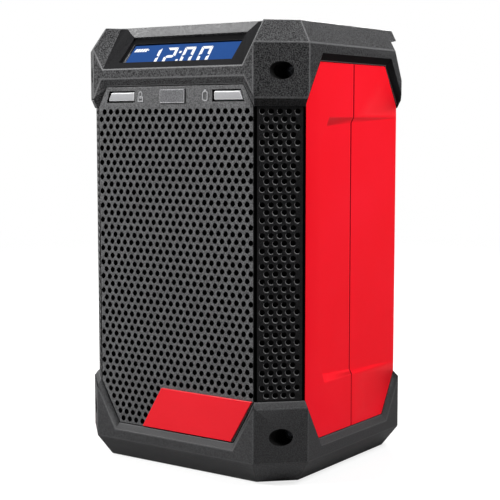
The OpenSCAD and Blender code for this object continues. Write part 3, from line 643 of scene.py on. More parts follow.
def charcoal(
    name: str,
    tone: float,
    roughness: float = 0.6,
    grain: float = 0.7,
    depth: float = 0.06,
    speckle: float = 0.3,
    level: float = 0.15,
) -> tuple[str, Moulded]:
    """Slot and finish of the bumpers' plastic in one of its tones; the tones besides the two plain ones are
    painted highlights and painted shade.
    """
    finish = Moulded(name, grey(tone), roughness, grain, depth, speckle, level=level)
    return "bumper_charcoal", finish


class Skin(Enum):
    """Finishes of the radio's pieces, with the record's slot that each one takes."""

    HOUSING = "housing_black", Moulded("housing plastic", grey(42), 0.6, 0.7, 0.1, 0.6, level=0.25)
    # Very dark housing plastic used as painted shade: on the front shell behind the grille, on the walls of
    # the sheets' holes and on part of the panel's hole edges.
    HOUSING_SHADE = (
        "housing_black",
        Moulded("shaded housing plastic", grey(9, 0), 0.8, speckle=0.2, level=0.05),
    )
    BUMPER = charcoal("bumper plastic", 57, depth=0.18, speckle=0.8, level=0.12)
    # Lighter plastic on the top bumper's rounded edges: a painted highlight.
    BUMPER_EDGE_HIGHLIGHT = charcoal("bumper edge", 88, 0.5, 0.8, 0.03, 0.25)
    # Darker plastic on the top bumper's flat sides: painted shade.
    BUMPER_SIDE_SHADE = charcoal("bumper side shaded plastic", 47, depth=0.18, speckle=0.8, level=0.12)
    # Darker plastic on the top bumper's downward lower chamfers: painted shade.
    BUMPER_UNDER_SHADE = charcoal("bumper lower chamfer shade", 31, depth=0.18, speckle=0.8, level=0.1)
    # Lighter plastic on the lower bumper's rounded edges: a painted highlight.
    BASE_EDGE_HIGHLIGHT = charcoal("lower bumper edge", 66, 0.5, 0.8, 0.03, 0.25)
    BASE = charcoal("lower bumper plastic", 53)
    # Lighter plastic on the lower bumper's downward slope: painted light from below.
    UNDERSIDE_LIGHT = charcoal("lower facet lit plastic", 72)
    # Very dark plastic under the side lips: painted shade.
    LIP_SHADE = charcoal("notch lip shaded plastic", 20, 0.7, level=0.02)
    # Smooth, dark plastic inside the display's scoop: the smoothness is the plastic's own, the darkness
    # painted shade.
    SCOOP_SMOOTH_SHADE = charcoal("smooth shaded bumper plastic", 28, 0.6, 0.8, 0.03, 0.2, 0.02)
    # Lighter, slightly smoother plastic on the band over the display: the smoothness is its own, the
    # lightness a painted highlight.
    BAND_HIGHLIGHT = charcoal("band highlight plastic", 74, 0.5, 0.8, 0.04, 0.25, 0.2)
    # Very dark plastic on the walls of the front screw ways: painted shade.
    WELL_SHADE = "bumper_charcoal", Moulded("screw way shaded plastic", grey(16, 0), 0.7, level=0.05)
    GRILLE = (
        "grille_charcoal",
        Moulded("grille plastic", grey(78), 0.55, 0.7, 0.12, 0.45, level=0.2),
    )
    STRIP = "strip_black", Moulded("corner strip plastic", grey(24), 0.5, 0.7, 0.06, 0.5, level=0.1)
    # Light plastic on the lower outer rims of the strips' holes: painted highlights.
    STRIP_RIM_HIGHLIGHT = "strip_black", Moulded("strip rim highlight plastic", grey(96), 0.45, level=0.2)
    SCREEN = "screen_cloth", Cloth("dust screen cloth", grey(5, 0))
    COVER = (
        "cover_red",
        Satin("red cover plastic", srgb(240, 18, 38), srgb(234, 10, 28), 0.55, level=0.1),
    )
    # Dark red on the covers' joint faces and slanted ends: painted shade.
    SEAM_SHADE = (
        "cover_red",
        Satin("shaded cover plastic", srgb(70, 0, 6), srgb(56, 0, 4), 0.7, level=0.0),
    )
    BADGE = (
        "plate_red",
        Satin("red plate plastic", srgb(216, 22, 36), srgb(206, 16, 30), 0.35, 0.01, 0.2),
    )
    SILVER = "plate_silver", Moulded("silver plate", grey(92, 2), 0.45, 0.7, 0.05, 0.35, level=0.2)
    # Lighter silver on the small plate's raised border: a painted highlight.
    SILVER_RIM_HIGHLIGHT = (
        "plate_silver",
        Moulded("silver plate rim highlight", grey(140, 2), 0.4, 0.7, 0.03, 0.3, level=0.3),
    )
    LENS = "lens_grey", Satin("lens plastic", grey(158, 2), grey(142, 2), 0.3, 0.01, 0.3)
    # Lighter grey on the lenses' rounded edges: a painted highlight.
    LENS_RIM_HIGHLIGHT = "lens_grey", Satin("lens rim highlight plastic", grey(205, 2), grey(190, 2), 0.3, 0.01)
    BOARD = "board_green", Board("board lacquer", srgb(18, 70, 40), srgb(40, 110, 60))
    BEZEL = "bezel_black", Satin("bezel plastic", grey(7), grey(4), 0.45, 0.005, 0.08)
    WINDOW = "window_clear", Clear("clear window", srgb(40, 46, 58), 0.03)
    DISPLAY = "display_blue", Glow("display light", srgb(46, 86, 154), srgb(2, 3, 6))
    DIGITS = "display_blue", Glow("segment light", srgb(250, 252, 255), grey(90, 0), 0.02)
    PANEL = "key_panel_grey", Moulded("key panel plastic", grey(46), 0.45, depth=0.04)
    KEY = "key_rubber", Moulded("key rubber", grey(36), 0.62, 0.4, 0.03, 0.25)
    SIGN = "key_rubber", Satin("key symbol print", grey(215, 0), grey(200, 0), 0.5)
    RUBBER = "rubber_black", Moulded("foot rubber", grey(22, 0), 0.75, 0.7, 0.06, 0.3)
    SCREW = "screw_steel", Metal("screw steel", srgb(120, 122, 125), 0.32)
    FRAME_STEEL = "speaker_steel", Metal("speaker steel", srgb(150, 152, 156), 0.4)
    MAGNET = "magnet_black", Moulded("ferrite", grey(34, 2), 0.6, 0.7, 0.05, 0.4)
    SPIDER = "spider_cloth", Cloth("spider cloth", srgb(170, 130, 70), 0.7)
    CONE = "cone_paper", Cloth("cone paper", grey(30), 0.9)
    COIL = "coil_copper", Metal("coil copper", srgb(200, 120, 70), 0.35)
    CHIP = "chip_black", Moulded("component plastic", grey(24), 0.4, 0.4, 0.02, 0.2)
    BRASS = "contact_brass", Metal("contact brass", srgb(205, 170, 95), 0.28)
    PACK = "pack_black", Moulded("battery plastic", grey(32), 0.5)
    PACK_RED = "pack_red", Satin("battery red plastic", srgb(212, 20, 34), srgb(190, 8, 22))
    CELL = "cell_wrap", Satin("cell wrap", srgb(50, 110, 160), srgb(40, 96, 144), 0.3)
    LATCH = "latch_grey", Moulded("latch plastic", grey(58), 0.5)
    DOOR = "door_rubber", Moulded("door rubber", grey(32), 0.7, 0.6, 0.05, 0.3)
    SOCKET_STEEL = "socket_steel", Metal("socket steel", srgb(165, 167, 170), 0.3)
    SOCKET = "socket_black", Moulded("socket plastic", grey(20, 0), 0.4, 0.4, 0.02, 0.2)

    @property
    def slot(self) -> str:
        """Slot of the record."""
        return self.value[0]

    @property
    def material(self) -> bpy.types.Material:
        """Material of the finish."""
        return self.value[1].material()


# ------------------------------------------------------------------------------ meshes


@dataclass(frozen=True)
class Plane:
    """Flat place on the radio that outlines are drawn on, in millimetres.

    Attributes:
        origin: Point where both coordinates are 0.
        right: Direction of the first coordinate.
        up: Direction of the second one.
    """

    origin: Place
    right: Place
    up: Place

    def point(self, across: np.ndarray, along: np.ndarray, height: np.ndarray) -> np.ndarray:
        """Places of points that are given on the plane.

        Each place is the origin plus the two coordinates along their directions, plus the height
        along the outward direction, which is the cross product of the two.

        Args:
            across: First coordinates.
            along: Second coordinates.
            height: Heights above the plane.

        Returns:
            Places in metres, with one more axis than the input.
        """
        right, up = np.array(self.right, float), np.array(self.up, float)
        out = np.cross(right, up)
        parts = (across[..., None] * right, along[..., None] * up, height[..., None] * out)
        return (np.array(self.origin, float) + sum(parts)) * MM


FRONT = Plane((0.0, 0.0, 0.0), (1.0, 0.0, 0.0), (0.0, 0.0, 1.0))  # heights run towards -Y
TOP = Plane((0.0, 0.0, 0.0), (1.0, 0.0, 0.0), (0.0, 1.0, 0.0))


def add_piece(name: str, mesh: bpy.types.Mesh, skin: Skin, body: str) -> bpy.types.Object:
    """Put a mesh into the scene as a piece that rides on a body.

    Args:
        name: Name of the piece.
        mesh: Its mesh, already in place.
        skin: Its finish.
        body: Body that carries it.

    Returns:
        The new object.
    """
    piece = bpy.data.objects.new(name, mesh)
    bpy.context.scene.collection.objects.link(piece)
    mesh.materials.clear()
    mesh.materials.append(skin.material)
    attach(piece, body)
    LOG.info("%s rides on %s", name, body)
    return piece


def mesh_of(
    name: str, points: np.ndarray, faces: Sequence[Sequence[int]], smooth: bool
) -> bpy.types.Mesh:
    """Mesh of points and faces, with doubles merged and its faces turned outwards.

    Args:
        name: Name of the mesh.
        points: Places in metres, one row each.
        faces: Numbers of each face's points.
        smooth: Whether the shading runs over the edges that are less than 35 degrees sharp.

    Returns:
        The mesh.
    """
    mesh = bpy.data.meshes.new(name)
    mesh.from_pydata(points.reshape(-1, 3).tolist(), [], [list(face) for face in faces])
    shape = bmesh.new()
    shape.from_mesh(mesh)
    bmesh.ops.remove_doubles(shape, verts=shape.verts, dist=0.0005 * MM)
    bmesh.ops.recalc_face_normals(shape, faces=shape.faces)
    shape.to_mesh(mesh)
    shape.free()
    if smooth:
        shade(mesh)
    return mesh


def raised(
    outline: np.ndarray, steps: Sequence[tuple[float, float]], plane: Plane, hollow: bool = False
) -> Solid:
    """Solid whose outline shrinks as it rises, such as a plate with a rounded edge, or a band.

    Each ring is the outline moved inwards by a distance: a corner moves along the sum of its two
    sides' inward normals, divided by one plus the cosine between them, so that both sides keep
    that distance. The rings follow each other along the steps. The two ends are closed, or the
    last ring is joined to the first one.

    Args:
        outline: Corners of the outline, counter-clockwise, one row each.
        steps: Distance inwards and height of each ring, from the lowest one.
        plane: Plane that the outline is drawn on.
        hollow: Whether the last ring is joined to the first one.

    Returns:
        Points and faces.
    """
    count = len(outline)
    side = np.roll(outline, -1, axis=0) - outline
    side = side / np.linalg.norm(side, axis=1, keepdims=True)
    inward = np.stack([-side[:, 1], side[:, 0]], axis=1)
    before = np.roll(inward, 1, axis=0)
    move = (inward + before) / (1 + np.sum(inward * before, axis=1, keepdims=True))
    inset = np.array([step[0] for step in steps])
    height = np.array([step[1] for step in steps])
    rings = outline[None] + move[None] * inset[:, None, None]
    points = plane.point(rings[..., 0], rings[..., 1], np.repeat(height[:, None], count, axis=1))
    faces = grid_faces(len(steps), count, hollow)
    if not hollow:
        lowest, highest = range(count), range(count * (len(steps) - 1), count * len(steps))
        faces += [list(lowest)[::-1], list(highest)]
    return points.reshape(-1, 3), faces


def grid_faces(rows: int, columns: int, loop: bool = False) -> list[list[int]]:
    """Four-sided faces of a grid of points whose rows are rings.

    Args:
        rows: Number of rings.
        columns: Number of points in each ring.
        loop: Whether the last ring is joined to the first one.

    Returns:
        Numbers of each face's points.
    """
    row = np.arange(rows if loop else rows - 1)[:, None]
    column = np.arange(columns)[None]
    above, after = (row + 1) % rows, (column + 1) % columns
    corners = [row * columns + column, row * columns + after]
    corners += [above * columns + after, above * columns + column]
    return np.stack(np.broadcast_arrays(*corners), axis=-1).reshape(-1, 4).tolist()


def joined(parts: Sequence[Solid]) -> Solid:
    """Several sets of points and faces as one.

    Args:
        parts: Points and faces of each part.

    Returns:
        All points and all faces.
    """
    faces: list[list[int]] = []
    start = 0
    for points, part in parts:
        faces += [[start + number for number in face] for face in part]
        start += len(points)
    return np.concatenate([points for points, _ in parts]), faces


def rounded_rectangle(width: float, height: float, radius: float, turns: int = 5) -> np.ndarray:
    """Corners of a rectangle with round corners about 0, counter-clockwise.

    Each corner is a quarter circle whose centre lies one radius inside both sides.

    Args:
        width: Full width.
        height: Full height.
        radius: Radius of the corners.
        turns: Points in each corner.

    Returns:
        One row for each point.
    """
    angle = (np.arange(4)[:, None] + np.linspace(0, 1, turns)[None]) * math.pi / 2
    centre_x = np.array([1, -1, -1, 1])[:, None] * (width / 2 - radius)
    centre_y = np.array([1, 1, -1, -1])[:, None] * (height / 2 - radius)
    across, along = centre_x + radius * np.cos(angle), centre_y + radius * np.sin(angle)
    return np.stack([across, along], axis=-1).reshape(-1, 2)


def polygon(*corners: tuple[float, float]) -> np.ndarray:
    """Outline through corners that are given counter-clockwise."""
    return np.array(corners, float)


def rectangle(left: float, low: float, right: float, high: float) -> np.ndarray:
    """Outline of a rectangle between its sides."""
    return polygon((left, low), (right, low), (right, high), (left, high))


def disc(across: float, along: float, radius: float, turns: int = 24) -> np.ndarray:
    """Outline of a circle.

    Args:
        across: First coordinate of its centre.
        along: Second one.
        radius: Radius.
        turns: Number of points.

    Returns:
        One row for each point.
    """
    angle = np.linspace(0, 2 * math.pi, turns, endpoint=False)
    return np.stack([across + radius * np.cos(angle), along + radius * np.sin(angle)], axis=1)


@dataclass(frozen=True)
class Relief:
    """Marks that stand a little proud of a flat place, as one piece.

    Attributes:
        plane: Plane that the marks are drawn on.
        base: Height of their foot over the plane, in millimetres.
        height: Height of their top over their foot.
        soften: Width of the slant round their top.
    """

    plane: Plane
    base: float
    height: float
    soften: float = 0.0

    def solid(self, outline: np.ndarray, band: float = 0.0) -> Solid:
        """Mark with an outline, filled or as a band along the inside of it.

        Args:
            outline: Outline of the mark.
            band: Width of the band, or 0 for a filled mark.

        Returns:
            Points and faces.
        """
        top = self.base + self.height
        steps = [(0.0, self.base), (0.0, top - self.soften), (self.soften, top)]
        if band:
            steps += [(band - self.soften, top), (band, top - self.soften), (band, self.base)]
        if not self.soften:  # those two rings would then double their neighbours
            steps = [step for number, step in enumerate(steps) if number not in (1, 4)]
        return raised(outline, steps, self.plane, bool(band))

    def piece(
        self, name: str, parts: Sequence[Solid], skin: Skin, body: str
    ) -> bpy.types.Object:
        """Piece of several marks."""
        return add_piece(name, mesh_of(name, *joined(parts), False), skin, body)


@dataclass(frozen=True)
class EdgeTable:
    """Edges of a mesh as arrays.

    Attributes:
        angle: Angle between the normals of each edge's two faces, in degrees.
        outward: Whether the edge stands out rather than lying in a corner.
        length: Length of the edge, in millimetres.
        middle: Its middle, in millimetres.
    """

    angle: np.ndarray
    outward: np.ndarray
    length: np.ndarray
    middle: np.ndarray


def read(items: Any, name: str, kind: type, width: int = 1) -> np.ndarray:
    """One property of all of a mesh's points, edges, loops or faces.

    Args:
        items: The collection.
        name: Name of the property.
        kind: Type of the numbers.
        width: Numbers in each value.

    Returns:
        One row for each item, or one number where the width is 1.
    """
    values = np.empty(len(items) * width, kind)
    items.foreach_get(name, values)
    return values.reshape(-1, width) if width > 1 else values


def face_table(mesh: bpy.types.Mesh) -> tuple[np.ndarray, np.ndarray]:
    """Normals of all faces, and their centres in millimetres."""
    normal = read(mesh.polygons, "normal", np.float32, 3)
    return normal, read(mesh.polygons, "center", np.float32, 3) / MM


def from_screws(places: np.ndarray) -> np.ndarray:
    """Distance of places from the axis of the nearest long screw."""
    over = np.minimum(*(np.abs(places[:, 2] - height) for height in SCREW_HEIGHTS))
    return np.hypot(np.abs(places[:, 0]) - SCREW_ASIDE, over)


def edge_table(mesh: bpy.types.Mesh) -> EdgeTable:
    """Angle, direction, length and middle of every edge.

    The loops are sorted by edge, so that the two faces of an edge lie side by side. The angle is
    the arc cosine of the product of their normals. The edge stands out where the second face's
    centre is behind the first face's plane.

    Args:
        mesh: Mesh to measure.

    Returns:
        The table.
    """
    edge = read(mesh.loops, "edge_index", np.int32)
    face = np.repeat(np.arange(len(mesh.polygons)), read(mesh.polygons, "loop_total", np.int32))
    order = np.argsort(edge, kind="stable")
    count = np.bincount(edge, minlength=len(mesh.edges))
    first = np.minimum(np.cumsum(count) - count, len(edge) - 2)
    one, two = face[order][first], face[order][first + 1]
    normal = read(mesh.polygons, "normal", np.float32, 3)
    centre = read(mesh.polygons, "center", np.float32, 3)
    angle = np.degrees(np.arccos(np.clip(np.sum(normal[one] * normal[two], axis=1), -1, 1)))
    behind = np.sum((centre[two] - centre[one]) * normal[one], axis=1) < 0
    place = read(mesh.vertices, "co", np.float32, 3)
    ends = place[read(mesh.edges, "vertices", np.int32, 2)]
    length = np.linalg.norm(ends[:, 1] - ends[:, 0], axis=1) / MM
    angle[count != 2] = 0
    return EdgeTable(angle, behind, length, ends.mean(axis=1) / MM)


def shade(mesh: bpy.types.Mesh, limit: float = 35.0) -> None:
    """Smooth shading that stops at the sharp edges.

    Args:
        mesh: Mesh to shade.
        limit: Angle in degrees from which an edge stays sharp.
    """
    mesh.polygons.foreach_set("use_smooth", np.ones(len(mesh.polygons), bool))
    sharp = mesh.attributes.get("sharp_edge")
    if sharp is None:
        sharp = mesh.attributes.new("sharp_edge", "BOOLEAN", "EDGE")
    sharp.data.foreach_set("value", edge_table(mesh).angle > limit)


def welded(node: str, flatten: bool = True, merge: float = 0.002) -> bpy.types.Mesh:
    """Mesh of a node with its doubles merged and its triangles joined into whole flat faces.

    Args:
        node: Name of the node.
        flatten: Whether triangles in one plane are joined.
        merge: Distance under which points become one, in millimetres.

    Returns:
        A new mesh.
    """
    shape = bmesh.new()
    shape.from_mesh(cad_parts[node].data)
    bmesh.ops.remove_doubles(shape, verts=shape.verts, dist=merge * MM)
    if flatten:
        flat = math.radians(0.5)
        bmesh.ops.dissolve_limit(shape, angle_limit=flat, verts=shape.verts, edges=shape.edges)
    mesh = bpy.data.meshes.new(node + "_copy")
    shape.to_mesh(mesh)
    shape.free()
    return mesh


@dataclass(frozen=True)
class Rounding:
    """How the outer edges of a moulded piece are rounded.

    Attributes:
        width: Width of the round, in millimetres.
        segments: Faces across the round.
        shortest: Length under which an edge stays as it is, in millimetres.
        sharpness: Angle between the faces from which an edge is rounded, in degrees.
        where: Test of the middles of the edges, or None for all of them.
        flatten: Whether triangles in one plane are joined first.
        facet: Angle from which an edge that isn't rounded stays sharp, in degrees.
        turned: Test of the edges on turned surfaces, or None where there are none.
        turned_facet: Angle from which such an edge stays sharp, in degrees.
        painted_round: Finish of the rounds themselves, a painted highlight where it is lighter than the
            piece and painted shade where it is darker, or None where they wear the piece's own.
        merge: Distance under which points become one first, in millimetres.
    """

    width: float = 0.4
    segments: int = 2
    shortest: float = 2.5
    sharpness: float = 18.0
    where: EdgeTest | None = None
    flatten: bool = True
    facet: float = 30.0
    turned: EdgeTest | None = None
    turned_facet: float = 30.0
    painted_round: Skin | None = None
    merge: float = 0.002

    def copy(self, name: str, node: str, skin: Skin, body: str) -> bpy.types.Object:
        """Piece that stands for a node, with its outer edges rounded.

        Args:
            name: Name of the piece.
            node: Node that it replaces.
            skin: Its finish.
            body: Body that carries it.

        Returns:
            The piece.
        """
        mesh = welded(node, self.flatten, self.merge)
        table = edge_table(mesh)
        chosen = table.outward & (table.angle > self.sharpness) & (table.length >= self.shortest)
        if self.where is not None:
            chosen &= self.where(table.middle)
        weight = mesh.attributes.new("bevel_weight_edge", "FLOAT", "EDGE")
        weight.data.foreach_set("value", chosen.astype(np.float32))
        shade(mesh)
        limit = np.full(len(table.angle), self.facet)
        if self.turned is not None:
            limit[self.turned(table.middle)] = self.turned_facet
        mesh.attributes["sharp_edge"].data.foreach_set("value", (table.angle > limit) & ~chosen)
        piece = add_piece(name, mesh, skin, body)
        bevel = piece.modifiers.new("rounded edges", "BEVEL")
        bevel.limit_method = "WEIGHT"
        bevel.width = self.width * MM
        bevel.segments = self.segments
        bevel.use_clamp_overlap = False
        bevel.loop_slide = False
        bevel.harden_normals = False
        even = piece.modifiers.new("even shading", "WEIGHTED_NORMAL")
        even.keep_sharp = True
        even.weight = 100
        # The rounds take a finish of their own: a painted highlight where it is lighter than the piece,
        # painted shade where it is darker.
        if self.painted_round is not None:
            mesh.materials.append(self.painted_round.material)
            bevel.material = 1
        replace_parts(piece, node)
        return piece


def paint_faces(mesh: bpy.types.Mesh, chosen: np.ndarray, skin: Skin) -> None:
    """Give some of a mesh's faces a finish of their own.

    Args:
        mesh: Mesh of a piece.
        chosen: Whether each face takes the finish.
        skin: The finish.
    """
    number = read(mesh.polygons, "material_index", np.int32)
    number[chosen] = len(mesh.materials)
    mesh.materials.append(skin.material)
    mesh.polygons.foreach_set("material_index", number)


def dress(skin: Skin, *nodes: str) -> None:
    """Give nodes that stay as they are their finish.

    Args:
        skin: Finish.
        *nodes: Names of the nodes.
    """
    for node in nodes:
        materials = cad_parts[node].data.materials
        if not materials:
            materials.append(skin.material)
        for number in range(len(materials)):
            materials[number] = skin.material
        LOG.info("%s keeps its mesh", node)


# ------------------------------------------------------------------------------ sub-assemblies


@dataclass
class Bumpers:
    """Top and bottom bumpers and the four feet."""

    body: str = "housing"
    edge: float = 0.55  # width of the rounded edges
    room_x: float = 72.4  # half width of the room for the housing
    room_y: float = 69.0  # half depth of that room
    corner: float = 128.0  # sum of both coordinates at its slanted corners
    ceiling: float = 236.0  # height of its top
    opening_half: float = 43.0  # half width of the display's opening
    opening_y: float = -64.2  # depth of its middle
    opening_z: float = 248.0  # height of its middle
    opening_deep: float = 8.0  # how far its edges lie from that depth
    opening_tall: float = 9.0  # and from that height
    lip_x: float = 80.9  # just inside the long edges of the side lips
    lip_y: float = 50.0  # just past the lips' ends
    lip_top: float = 245.0  # just over the lips
    foot: float = 200.0  # just under the top bumper
    rim_top: float = 218.0  # just over its lower rim
    scoop_half: float = 59.5  # half width of the scoop
    scoop_back: float = -53.0  # depth of its back
    scoop_foot: float = 237.0  # height of its foot
    band: float = 256.0  # just under the middle of the band behind the display
    side: float = 80.0  # just inside the flat sides
    lip_side: float = 77.0  # just inside the lips' slanted faces
    slope_top: float = 16.0  # just over the slope underneath the bottom bumper
    way: float = 5.0  # just outside the walls of the screw ways
    way_edge: float = 6.0  # just outside their edges

    def build(self) -> None:
        """Make both bumpers with rounded edges lightened as a painted highlight, paint groups of their
        faces with painted shade and painted light, add the feet.
        """
        rounding = Rounding(
            self.edge,
            shortest=3.0,
            sharpness=8.0,
            where=self.outside,
            facet=2.0,
            turned=self.at_ways,
            painted_round=Skin.BUMPER_EDGE_HIGHLIGHT,
        )
        top = rounding.copy("top_bumper_moulding", "top_bumper", Skin.BUMPER, self.body)
        self.paint_top(top.data)
        self.paint_ways(top.data)
        rounding = replace(rounding, painted_round=Skin.BASE_EDGE_HIGHLIGHT)
        base = rounding.copy("bottom_bumper_moulding", "bottom_bumper", Skin.BASE, self.body)
        self.paint_ways(base.data)
        # The lower bumper's downward slope is painted lighter: painted light from below.
        normal, centre = face_table(base.data)
        slope = (np.abs(normal[:, 2] + 0.6) < 0.1) & (centre[:, 2] < self.slope_top)
        paint_faces(base.data, slope, Skin.UNDERSIDE_LIGHT)
        Rounding(0.6, 3, 1.0).copy("rubber_feet", "feet", Skin.RUBBER, self.body)

    def outside(self, middle: np.ndarray) -> np.ndarray:
        """Edges on the outside of a bumper rather than in the room for the housing.

        The edges of the display's opening, the long edges of the side lips and the top bumper's
        lower rim at the corners are left out as well.

        Args:
            middle: Middles of the edges.

        Returns:
            Whether each edge is rounded.
        """
        aside, depth, height = np.abs(middle[:, 0]), np.abs(middle[:, 1]), middle[:, 2]
        at_corner = aside + depth > self.corner
        near = (aside > self.room_x) | (depth > self.room_y) | at_corner
        opening = aside < self.opening_half
        opening &= np.abs(middle[:, 1] - self.opening_y) < self.opening_deep
        opening &= np.abs(height - self.opening_z) < self.opening_tall
        lip = (aside > self.lip_x) & (depth < self.lip_y) & (height < self.lip_top)
        rim = at_corner & (height < self.rim_top)
        sharp = opening | ((lip | rim) & (height > self.foot))
        return (near | (height > self.ceiling)) & ~sharp

    def at_ways(self, middle: np.ndarray) -> np.ndarray:
        """Edges of the four round ways to the long screws."""
        return from_screws(middle) < self.way_edge

    def paint_top(self, mesh: bpy.types.Mesh) -> None:
        """Give the top bumper's scoop, band, sides, lips and lower chamfers their finishes.

        Inside the scoop, the slope and the walls that face its middle are smooth, and darkened as painted
        shade; the upright face over the display is the band, lightened as a painted highlight. The flat
        sides, the side lips and the lower chamfers are darkened as painted shade. The tests of a normal's
        parts are shares of 1.

        Args:
            mesh: Mesh of the top bumper.
        """
        normal, centre = face_table(mesh)
        aside, height = np.abs(centre[:, 0]), centre[:, 2]
        inside = (aside < self.scoop_half) & (centre[:, 1] < self.scoop_back)
        inside &= height > self.scoop_foot
        outward = normal[:, 0] * np.sign(centre[:, 0])
        wall = ((outward < -0.1) & (outward > -0.6)) | (outward < -0.95)
        facing = (np.abs(normal[:, 0]) < 0.1) & (normal[:, 1] < -0.3)
        slope, upright = facing & (normal[:, 2] > 0.3), facing & (normal[:, 2] <= 0.3)
        side = (np.abs(normal[:, 0]) > 0.98) & (aside > self.side)
        low = (np.abs(normal[:, 0]) > 0.1) & (normal[:, 2] < -0.3) & (height < self.ceiling)
        lip = (np.abs(normal[:, 0]) > 0.7) & (normal[:, 2] < -0.2) & (aside > self.lip_side)
        # Painted shade in the scoop, on the flat sides, on the lower chamfers and under the lips; a painted
        # highlight on the band.
        paint_faces(mesh, inside & (wall | slope), Skin.SCOOP_SMOOTH_SHADE)
        paint_faces(mesh, inside & upright & (height > self.band), Skin.BAND_HIGHLIGHT)
        paint_faces(mesh, side, Skin.BUMPER_SIDE_SHADE)
        paint_faces(mesh, low, Skin.BUMPER_UNDER_SHADE)
        paint_faces(mesh, lip, Skin.LIP_SHADE)

    def paint_ways(self, mesh: bpy.types.Mesh) -> None:
        """Give the walls of the front screw ways a very dark finish, as painted shade.

        Args:
            mesh: Mesh of a bumper.
        """
        normal, centre = face_table(mesh)
        front = centre[:, 1] < 0
        wall = (from_screws(centre) < self.way) & (np.abs(normal[:, 1]) < 0.1)
        paint_faces(mesh, wall & front, Skin.WELL_SHADE)


@dataclass
class SideCovers:
    """Four red covers of the sides."""

    body: str = "housing"
    edge: float = 0.5  # width of the rounded edges
    tip_x: float = 77.8  # the thin tips lie outside this width
    tip_y: float = 51.2  # and outside this depth
    joint: float = 1.0  # depth within which the faces of the joint lie

    def build(self) -> None:
        """Make the covers with soft edges, and dark red faces in their joint and at their slanted ends as
        painted shade.
        """
        rounding = Rounding(self.edge, 3, 1.5, 8.0, self.off_tip, facet=1.0, merge=0.12)
        for side in ("left", "right"):
            for end in ("front", "rear"):
                name = f"{side}_{end}_cover"
                cover = rounding.copy(name + "_moulding", name, Skin.COVER, self.body)
                normal, centre = face_table(cover.data)
                # The joint's faces and the slanted ends take the dark red: painted shade.
                seam = (np.abs(normal[:, 1]) > 0.9) & (np.abs(centre[:, 1]) < self.joint)
                outward = normal[:, 0] * np.sign(centre[:, 0])
                slanted = (outward < -0.6) & (np.abs(normal[:, 1]) > 0.6)
                paint_faces(cover.data, seam | slanted, Skin.SEAM_SHADE)

    def off_tip(self, middle: np.ndarray) -> np.ndarray:
        """Edges that don't lie in the thin tips at the slanted corners of the housing."""
        return (np.abs(middle[:, 0]) < self.tip_x) | (np.abs(middle[:, 1]) < self.tip_y)


